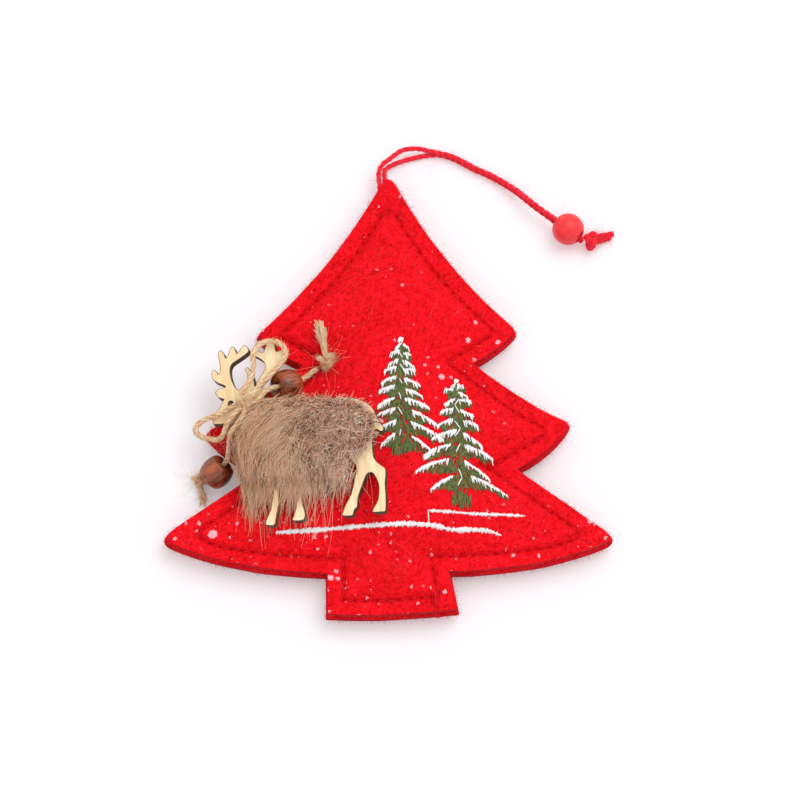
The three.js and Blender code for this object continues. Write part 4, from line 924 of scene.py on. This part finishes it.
# The reindeer is cut by laser from 3 mm plywood, which leaves a burnt brown edge. It leans on the
# domed felt, held by two dabs of hot glue. Its outline is in the points of a 0.28 mm grid.
deer_left, deer_foot, deer_height = -47.5, -38.3, 8.4016
lean = np.radians((2, -10))
(down_cos, left_cos), (down_sin, left_sin) = np.cos(lean), np.sin(lean)
tilt_x = np.array([[1, 0, 0], [0, down_cos, -down_sin], [0, down_sin, down_cos]])
tilt_y = np.array([[left_cos, 0, left_sin], [0, 1, 0], [-left_sin, 0, left_cos]])
board_width, board_height, ply = 48.2, 52.1, 3
grid_left, grid_foot, grid_width, grid_height, grid_tilt = 212.5, 528, 174.1, 184.7, 0.0465
deer_outline = [
    (213.5, 420), (218, 415.6), (220.9, 412.1), (225.1, 403.7),
    (225.8, 403.7), (220.2, 402.3), (217.4, 399.5), (216.3, 396.7), (220.2, 393.2), (226.5, 391),
    (215.6, 385.8), (212.5, 380), (213.2, 375), (216.3, 374.8), (219.5, 379), (220.5, 377),
    (220.5, 369.3), (219.1, 362), (218.8, 356.7), (221.6, 354.7), (224.6, 358), (226.5, 362.6),
    (229, 358.5), (231, 352), (234.5, 351.5), (237, 357), (237.8, 358), (238.5, 357.2),
    (243, 350.8), (246, 349.8), (249, 353), (248.6, 357),
    (240, 363.5), (233, 368.5), (231, 374), (232, 382), (235, 389.5), (239.5, 394.3),
    (242, 392.5), (247, 386.7), (248.3, 379.5), (245.6, 373.7), (248.5, 371.8), (251, 374.5),
    (254.5, 381.8), (256, 391), (257.5, 386), (258.4, 385.4), (264.4, 376.3), (266, 371.4),
    (264.4, 366.5), (260.2, 363), (254, 359.5), (252.5, 354.5), (256, 352.7), (263, 357),
    (266.5, 350), (268.5, 344), (273, 343.3), (275.5, 349), (277.3, 356), (282.6, 353.2),
    (284.4, 349.6), (287.2, 351.8), (287.2, 356), (286, 360.2), (282, 365), (277.7, 372),
    (272.8, 375.6), (268, 382), (262.3, 388.2), (258.4, 391),
    (264.4, 392.5), (267.6, 392.8), (268.2, 394.6), (266.5, 397.4), (260.2, 402.3), (256, 405.8),
    (262, 408), (275, 407), (300, 406.5), (320, 405.5), (330, 403.3), (341, 402), (349, 401.5),
    (355.4, 402.5), (363, 405), (369.4, 408.4), (374, 413.5), (376.4, 418.2),
    (380, 425), (383.5, 430.8), (384, 434), (381, 435.3), (377.5, 433.2), (375.5, 434),
    (374, 440), (373, 446.3), (373.3, 453), (374.3, 460.3), (377, 464.5), (381, 468), (385.6, 471.5),
    (386.3, 478), (385.6, 486), (386.3, 495.4), (386.6, 505), (386.3, 512.2), (384, 514),
    (373.6, 514.3), (374.5, 510), (377.8, 503.8), (379.2, 496), (379.2, 488.4), (377, 482), (374, 477),
    (371, 475.7), (367.5, 477.5), (365, 483), (361, 494), (359.2, 499), (358.6, 505), (358.2, 509.4),
    (355.5, 512), (354, 517.1), (351, 518.3), (343.5, 517.8), (344.5, 513), (347, 506.6), (351, 499),
    (353, 493), (354, 488.4), (355.5, 481), (356.8, 474.3), (356, 468),
    (350, 462), (335, 458), (318, 457), (308, 462),
    (307, 475), (305.5, 488), (303.5, 496), (303.5, 503.8), (305, 510), (307, 516.4), (306.5, 519),
    (305.6, 522), (301, 523.2), (294.4, 522.8), (295.5, 518), (298, 510), (299, 500), (299.3, 488.4),
    (293, 474), (288, 468),
    (282, 476), (281.5, 488), (280.8, 497), (280.3, 508), (279, 516), (276.8, 527), (272, 528),
    (267.7, 527), (269, 521), (272.5, 513), (274, 505), (274.7, 495), (275, 481.4), (273, 470),
    (266, 460), (252, 448), (243, 436), (236, 428),
    (233.5, 426.5), (223.7, 428.2), (216, 428.6), (214.5, 427.5),
]


def on_board(grid_points):
    """A place on the reindeer's board in millimetres. The grid's rows run down, and a little askew."""
    grid_points = np.asarray(grid_points, dtype=float)
    x = (grid_points[..., 0] - grid_left) * board_width / grid_width
    up = (grid_foot - grid_points[..., 1]) * board_height / grid_height
    return np.stack([x, up - grid_tilt * x], axis=-1)


def from_board(points):
    """Points of the board's own frame, with the height over its back, in the ornament's frame."""
    return np.asarray(points) @ (tilt_x @ tilt_y).T + (deer_left, deer_foot, deer_height)


plywood = Finish("plywood", roughness=0.62)
burnt, level = plywood.attribute("burnt"), plywood.attribute("level")
grain = plywood.noise(1.1, stretch=(1, 14, 1), turn=(0, 0, 0.12), detail=4)
face = grain.between(0.3, 0.72).blend((0.88, 0.66, 0.36), (1, 0.85, 0.55))
face = (plywood.noise(0.12, stretch=(1, 3, 1)).between(0.4, 0.7) * 0.4).blend(face, (0.86, 0.55, 0.25))
glue_lines = (level * ply).maths("PINGPONG", 0.5).between(0.05, 0.4)
char = glue_lines.blend((0.028, 0.014, 0.008), (0.1, 0.048, 0.02))
scorch = (burnt + plywood.noise(0.9) * 0.35 - 0.17).between(0.15, 0.9)
plywood.set(base_color=scorch.blend(face, char))
plywood.bump(grain + plywood.noise(5, stretch=(1, 8, 1)) * 0.5, 0.07)

deer_line = smooth_route(on_board(deer_outline), 0.3, closed=True)[:-1]
tangent = unit(np.roll(deer_line, -1, 0) - np.roll(deer_line, 1, 0))
inward = np.stack([tangent[:, 1], -tangent[:, 0]], axis=1)
eye_at, eye_radius, eye_steps = on_board((232, 408)), 0.74, 32
eye_turn = np.arange(eye_steps) * 2 * np.pi / eye_steps
eye_way = np.stack([np.cos(eye_turn), np.sin(eye_turn)], axis=1)
# The levels of the cut edge, from the back to the front: inset, height and how far it is scorched.
levels = [
    (0.3, 0, 0), (0.08, 0, 0.8), (0, 0.08, 1), (0, 1, 1),
    (0, 2, 1), (0, 2.92, 1), (0.08, ply, 0.8), (0.3, ply, 0),
]
outer = np.array([raised(deer_line + inward * inset, height) for inset, height, _ in levels])
hole = np.array([raised(eye_at + eye_way * (eye_radius + inset), height) for inset, height, _ in levels])
outer_walls = wrapped(outer[None, :, ::-1])[1][0]
hole_walls = wrapped(hole[None])[1][0][:, ::-1] + outer[..., 0].size
outline_size = len(deer_line)
front_loops = [ring[-1, :, :2] for ring in (outer, hole)]
cap = np.array(tessellate_polygon([[Vector((*p, 0)) for p in loop] for loop in front_loops]))
corner = np.concatenate(front_loops)[cap]
area = np.cross(corner[:, 1] - corner[:, 0], corner[:, 2] - corner[:, 0])
cap = np.where(area[:, None] < 0, cap[:, ::-1], cap)
reverse = np.arange(outline_size)[::-1]


def cap_corners(ring):
    """The cap's corners as points of the board: the outline's ring runs backwards in its walls."""
    outline_part = ring * outline_size + reverse[np.minimum(cap, outline_size - 1)]
    hole_part = outer[..., 0].size + ring * eye_steps + cap - outline_size
    return np.where(cap < outline_size, outline_part, hole_part)


board_points = np.concatenate([outer[:, ::-1].reshape(-1, 3), hole.reshape(-1, 3)])
caps = np.concatenate([cap_corners(len(levels) - 1), cap_corners(0)[:, ::-1]])
board_mesh = (from_board(board_points), [np.concatenate([outer_walls, hole_walls]), caps])
scorched = [np.repeat([burn for _, _, burn in levels], count) for count in (outline_size, eye_steps)]
edge = {"burnt": np.concatenate(scorched), "level": board_points[:, 2] / ply}
board = piece("reindeer_board", board_mesh, plywood, "plywood", smooth=False, **edge)
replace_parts(board, "reindeer_plywood")

# Two dabs of hot glue hold the board on the felt. They are hidden behind it, so the solids' plain
# shape is kept and only gets a cloudy, glossy finish.
hot_glue = Finish("hot_glue", roughness=0.3, coat_weight=0.4)
cloud = hot_glue.noise(0.5)
hot_glue.set(base_color=cloud.blend((0.78, 0.72, 0.56), (0.9, 0.87, 0.76)))
hot_glue.bump(cloud, 0.3)
for name in ("glue_dab_shoulder", "glue_dab_rump"):
    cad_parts[name].data.materials.clear()
    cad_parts[name].data.materials.append(hot_glue.material)

# The bow is tied to a turn of the same jute twine, which goes round the reindeer's neck, over both
# edges of the board.
neck_from, neck_to = on_board((229, 431)), on_board((263.5, 404.5))
neck_middle, neck_way = (neck_from + neck_to) / 2, unit(neck_to - neck_from)
reach = np.linalg.norm(neck_to - neck_from) / 2
bend, front, back = 0.9, 4.05, -1.05
neck_loop = [
    (bend - reach, front), (0, front), (reach - bend, front), (reach, front - bend), (reach, back + bend),
    (reach - bend, back), (0, back), (bend - reach, back), (-reach, back + bend), (-reach, front - bend),
]
neck_points = [(*(neck_middle + neck_way * along), up) for along, up in neck_loop]
neck_line = from_board(smooth_route(neck_points, closed=True))
neck_wrap = piece("jute_neck_twine", jute_twine(neck_line, over=(0.6, -0.7, 0.3)), jute, "jute")
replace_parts(neck_wrap, "jute_neck_wrap")

# The reindeer's coat is a patch of long fake fur glued on the board: a woven backing, a dark dense
# underfur and long guard hairs that fall to the left and over the legs, with stubble on the rump.
fur_outline = [
    (262, 407), (280, 404), (306, 404.5), (331, 405), (355, 408.5), (367, 413.5), (374, 421), (375.5, 431),
    (371, 443), (362, 454), (355, 465), (353, 478), (347, 486), (333, 484), (318, 482), (304, 484),
    (290, 482), (276, 484), (262, 487), (250, 484), (243, 472), (238, 455), (236, 436), (243, 418),
]
fur_left, fur_top, fur_width, fur_height = 240, 405, 138, 80
fur_middle, fur_edge, points_per_mm = np.array([300, 445]), 1.2, 3.55
fur_line = smooth_route(fur_outline, 1, closed=True) - fur_middle
fur_angle = np.arctan2(fur_line[:, 1], fur_line[:, 0])


def fur_reach(angle):
    """How far the fur goes from its middle in a direction, in points of the reindeer's grid."""
    return np.interp(angle, fur_angle, np.linalg.norm(fur_line, axis=1), period=2 * np.pi)


def fur_share(grid_points):
    """0 in the middle of the fur and 1 at its outline."""
    offset = grid_points - fur_middle
    return np.linalg.norm(offset, axis=-1) / fur_reach(np.arctan2(offset[..., 1], offset[..., 0]))


def fur_thickness(share):
    """Thickness of the coat over the board: a dome of 1.2 to 4.8 mm that thins out past its outline."""
    dome = fur_edge + 3.6 * np.sqrt(np.clip(1 - share**2, 0, 1))
    return np.where(share < 1, dome, fur_edge * np.exp(-3 * np.maximum(share - 1, 0)))


def fur_skin(profile, around=120):
    """A closed skin over the fur's outline: at a share of it and a height over the board's back."""
    angle = np.arange(around) * 2 * np.pi / around
    way = np.stack([np.cos(angle), np.sin(angle)], axis=1) * fur_reach(angle)[:, None]
    share, height = np.array(profile).T[..., None]
    places = on_board(fur_middle + share[..., None] * way)
    return wrapped(from_board(raised(places, height))[None])


cloth = Finish("fur_cloth", roughness=0.95)
weave = cloth.noise(2, stretch=(1, 4, 1)) + cloth.noise(2, stretch=(4, 1, 1))
cloth.set(base_color=(weave * 0.5).between(0.35, 0.65).blend((0.16, 0.1, 0.06), (0.3, 0.2, 0.13)))
cloth.bump(weave * 0.5, 0.2)
backing = [
    (0.02, 4.3), (0.5, 4.3), (0.8, 4.25), (0.82, 4.1), (0.82, 3.4), (0.8, 3.25), (0.5, 3.2), (0.02, 3.2),
]
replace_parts(piece("fur_woven_backing", fur_skin(backing), cloth, "fur"), "fur_backing")

fur = Finish("fur", roughness=0.7, specular_ior_level=0.3)
shade, warmth = fur.attribute("shade"), fur.attribute("warmth")
low_colour = shade.between(0, 0.5).blend((0.07, 0.026, 0.014), (0.85, 0.42, 0.265))
grey = shade.between(0.4, 1).blend(low_colour, (1, 0.83, 0.66))
low_colour = shade.between(0, 0.5).blend((0.1, 0.03, 0.012), (0.74, 0.335, 0.16))
blond = shade.between(0.4, 1).blend(low_colour, (1, 0.75, 0.5))
fur.set(base_color=warmth.blend(grey, blond))
under = Finish("underfur", roughness=1.0)
streaks = under.noise(1.6, stretch=(1, 5, 1), turn=(0, 0, -0.8), detail=4)
under.set(base_color=streaks.between(0.35, 0.7).blend((0.09, 0.045, 0.025), (0.34, 0.19, 0.11)))
under.bump(streaks, 0.5)
shares = np.linspace(0.02, 0.97, 18)
roof = [(share, 4.45 + 0.55 * (fur_thickness(share) - fur_edge)) for share in shares]
underfur = piece("fur_underfur", fur_skin([*roof, (0.97, 4.4), (0.6, 4.35), (0.02, 4.35)]), under, "fur")
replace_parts(underfur, "fur_pile")


def hair_places(roots, angles, straighten, lengths, steps=8):
    """Hairs on the reindeer's grid, from their roots on, that turn towards straight down.

    A hair's direction is angle (1 - straighten t) to the left of down, with a small wave.
    """
    t = np.linspace(0, 1, steps)
    turn = angles[:, None] * (1 - straighten * t) + 0.1 * np.sin(6 * t + rng.uniform(0, 6, (len(roots), 1)))
    way = np.stack([-np.sin(turn), np.cos(turn)], axis=-1)
    way = way * (lengths * points_per_mm / (steps - 1))[:, None, None]
    return roots[:, None] + np.cumsum(way, axis=1) - way[:, :1]


def hair_points(places, layers, droop=5.0):
    """Hairs over the board: at the share layer of the coat's thickness, and past the coat on the felt."""
    share = fur_share(places)
    rise = 0.15 + 0.85 * np.minimum(1, 5 * np.linspace(0, 1, places.shape[1]))
    backed = np.clip(5 * (1.12 - share), 0, 1)
    height = ply + 1.25 * backed + fur_thickness(share) * layers[:, None] * rise
    height = height + 0.3 - droop * np.maximum(0, share - 1) * (1 - layers[:, None] * 0.7)
    points = from_board(raised(on_board(places), height))
    points[..., 2] = np.maximum(points[..., 2], felt_top(points[..., :2]) + 0.25 + 0.6 * layers[:, None])
    return points


def fur_roots(count, widest):
    """Random roots inside a share of the fur's outline, with their places across and down it."""
    angle = rng.uniform(-np.pi, np.pi, count)
    out = np.sqrt(rng.uniform(0, 1, count)) * widest * fur_reach(angle)
    roots = fur_middle + out[:, None] * np.stack([np.cos(angle), np.sin(angle)], axis=1)
    across, down = (roots - (fur_left, fur_top)).T
    return roots, np.clip(across / fur_width, 0, 1), np.clip(down / fur_height, 0, 1)


def fur_hairs(name, places, points, radii, tone):
    """A piece of fur hairs, warmer at the reindeer's chest than at its rump."""
    warmth = np.clip(1.15 - (places[..., 0] - fur_left) / 110, 0, 1)
    layers = {"shade": np.clip(tone, 0, 1), "warmth": warmth}
    layers = {key: np.repeat(values.ravel(), hair_sides) for key, values in layers.items()}
    return piece(name, strands(points, radii), fur, "fur", **layers)


hair_taper = np.array([1, 1, 0.95, 0.86, 0.74, 0.58, 0.4, 0.18])
lock_count, t = 520, np.linspace(0, 1, len(hair_taper))[:, None]
for name, count, thickness, layer, brighter, droop in (
    ("lower", 4100, 0.093, 0.45, -0.12, 5),
    ("middle", 4000, 0.077, 0.68, 0, 5),
    ("upper", 3800, 0.06, 0.88, 0.1, 1.5),
):
    roots, u, v = fur_roots(lock_count, 0.97)
    angles = np.radians(68 - 2 * u - v * (46 + 28 * u) + rng.normal(size=lock_count) * 11)
    lengths = rng.uniform(10, 24, lock_count) * (1 - 0.5 * u) * np.where((u > 0.6) & (v < 0.5), 0.55, 1)
    # The locks end in a ragged fringe over the legs, and turn down before the coat's left edge.
    lowest = 468 + rng.exponential(18, lock_count) + 10 * (u < 0.3) * rng.uniform(0, 1, lock_count)
    lengths = np.minimum(lengths, (lowest - roots[:, 1]).clip(12) / 3.5)
    leftmost = fur_left + 12 * np.clip((roots[:, 1] + 3 * lengths - 445) / 45, 0, 1)
    room = np.clip((roots[:, 0] - leftmost) / (points_per_mm * lengths * 0.75), -0.45, 1)
    angles = np.minimum(angles, np.arcsin(room))
    lock = rng.integers(0, lock_count, count)
    spread = rng.normal(size=(count, 1, 2)) * (5, 4.5)
    long = rng.uniform(0.75, 1.15, count)
    places = hair_places(roots[lock], angles[lock] + rng.normal(size=count) * 0.1, 0.32, lengths[lock] * long)
    places = places + spread * (1 - 0.82 * t)
    layers = layer + rng.uniform(-0.12, 0.12, lock_count)[lock] + rng.uniform(-0.06, 0.06, count)
    tone = brighter + rng.normal(0.48, 0.36, lock_count)[lock] + rng.normal(0, 0.2, count)
    tone = tone[:, None] + np.linspace(-0.14, 0.24, len(hair_taper))
    radii = thickness * hair_taper * rng.uniform(0.7, 1.25, (count, 1))
    fur_hairs(f"fur_guard_hairs_{name}", places, hair_points(places, layers, droop), radii, tone)

roots, u, v = fur_roots(9000, 1.0)
rump = np.clip(1.7 * (u - 0.38), 0, 1) * np.clip(1.6 - 1.6 * v, 0.05, 1)
chosen = rng.uniform(size=len(u)) < rump + 0.06 * (v < 0.15)
roots, u, v = roots[chosen], u[chosen], v[chosen]
angles = np.radians(rng.normal(50, 75, len(u)))
places = hair_places(roots, angles, -0.4, rng.uniform(1.5, 4.2, len(u)), steps=5)
tone = rng.uniform(0.05, 0.95, len(u))[:, None] ** 1.2 + np.linspace(-0.1, 0.15, 5)
points = hair_points(places, rng.uniform(0.85, 1.2, len(u)))
fur_hairs("fur_rump_stubble", places, points, 0.07 * np.array([1, 0.95, 0.85, 0.65, 0.3]), tone)

roots, u, v = fur_roots(260, 0.95)
angles = np.radians(rng.normal(52, 30, len(u)) * np.minimum(1, 0.2 + 2 * u) - 40 * v)
places = hair_places(roots, angles, 0.3, rng.uniform(8, 22, len(u)), steps=10)
tone = np.repeat(rng.uniform(0.65, 1, (len(u), 1)), 10, axis=1)
points = hair_points(places, rng.uniform(1.0, 1.25, len(u)), droop=2)
fur_hairs("fur_stray_hairs", places, points, 0.045 * np.linspace(1, 0.4, 10), tone)


# A pale matt table, lit evenly from a large soft lamp and a bright room. It goes over into a white
# wall far from the ornament, where only the camera, mirrors and glass see it.
def looked_at(tree):
    """1 for a ray of the camera, or one that a mirror or glass sends on, and 0 for the others."""
    ray = tree.nodes.new("ShaderNodeLightPath")
    most = ray.outputs["Is Camera Ray"]
    for name in ("Is Glossy Ray", "Is Transmission Ray"):
        larger = tree.nodes.new("ShaderNodeMath")
        larger.operation = "MAXIMUM"
        tree.links.new(most, larger.inputs[0])
        tree.links.new(ray.outputs[name], larger.inputs[1])
        most = larger.outputs[0]
    return most


table = Finish("table", roughness=0.9)
table.set(base_color=(0.95, 0.93, 0.96))
seen = Value(table, looked_at(table.tree))
away = table.node("ShaderNodeVectorMath", output="Value", inputs={0: table.place}, operation="LENGTH")
white = table.node("ShaderNodeEmission", inputs={"Color": (1, 1, 1), "Strength": 1.0})
surface = Value(table, table.shader.outputs[0])
fade = (away.between(220, 620) * 0.75 + 0.25) * seen
faded = table.node("ShaderNodeMixShader", inputs={0: fade, 1: surface, 2: white})
table.tree.links.new(faded.socket, table.tree.nodes["Material Output"].inputs["Surface"])
bpy.ops.mesh.primitive_plane_add(size=6, location=(0, 0, -0.0001))
table_top = bpy.context.object
table_top.name = "table"
table_top.data.materials.append(table.material)

lamp = bpy.data.lights.new("window", "AREA")
lamp.shape, lamp.size, lamp.energy = "DISK", 0.9, 5.5
window = bpy.data.objects.new("window", lamp)
bpy.context.scene.collection.objects.link(window)
window.location = (0.4, 0.4, 1.05)
window.rotation_euler = (-window.location).to_track_quat("-Z", "Y").to_euler()

# The room's light comes from all sides, and the camera and mirrors see a white wall in its place.
world = bpy.data.worlds.new("room")
bpy.context.scene.world = world
world.use_nodes = True
room = world.node_tree
glow = room.nodes["Background"]
glow.inputs["Color"].default_value = (1, 0.985, 1, 1)
glow.inputs["Strength"].default_value = 0.86
wall = room.nodes.new("ShaderNodeBackground")
wall.inputs["Color"].default_value = (1, 1, 1, 1)
shown = room.nodes.new("ShaderNodeMixShader")
room.links.new(looked_at(room), shown.inputs[0])
room.links.new(glow.outputs[0], shown.inputs[1])
room.links.new(wall.outputs[0], shown.inputs[2])
room.links.new(shown.outputs[0], room.nodes["World Output"].inputs["Surface"])
bpy.context.scene.view_settings.view_transform = "Standard"
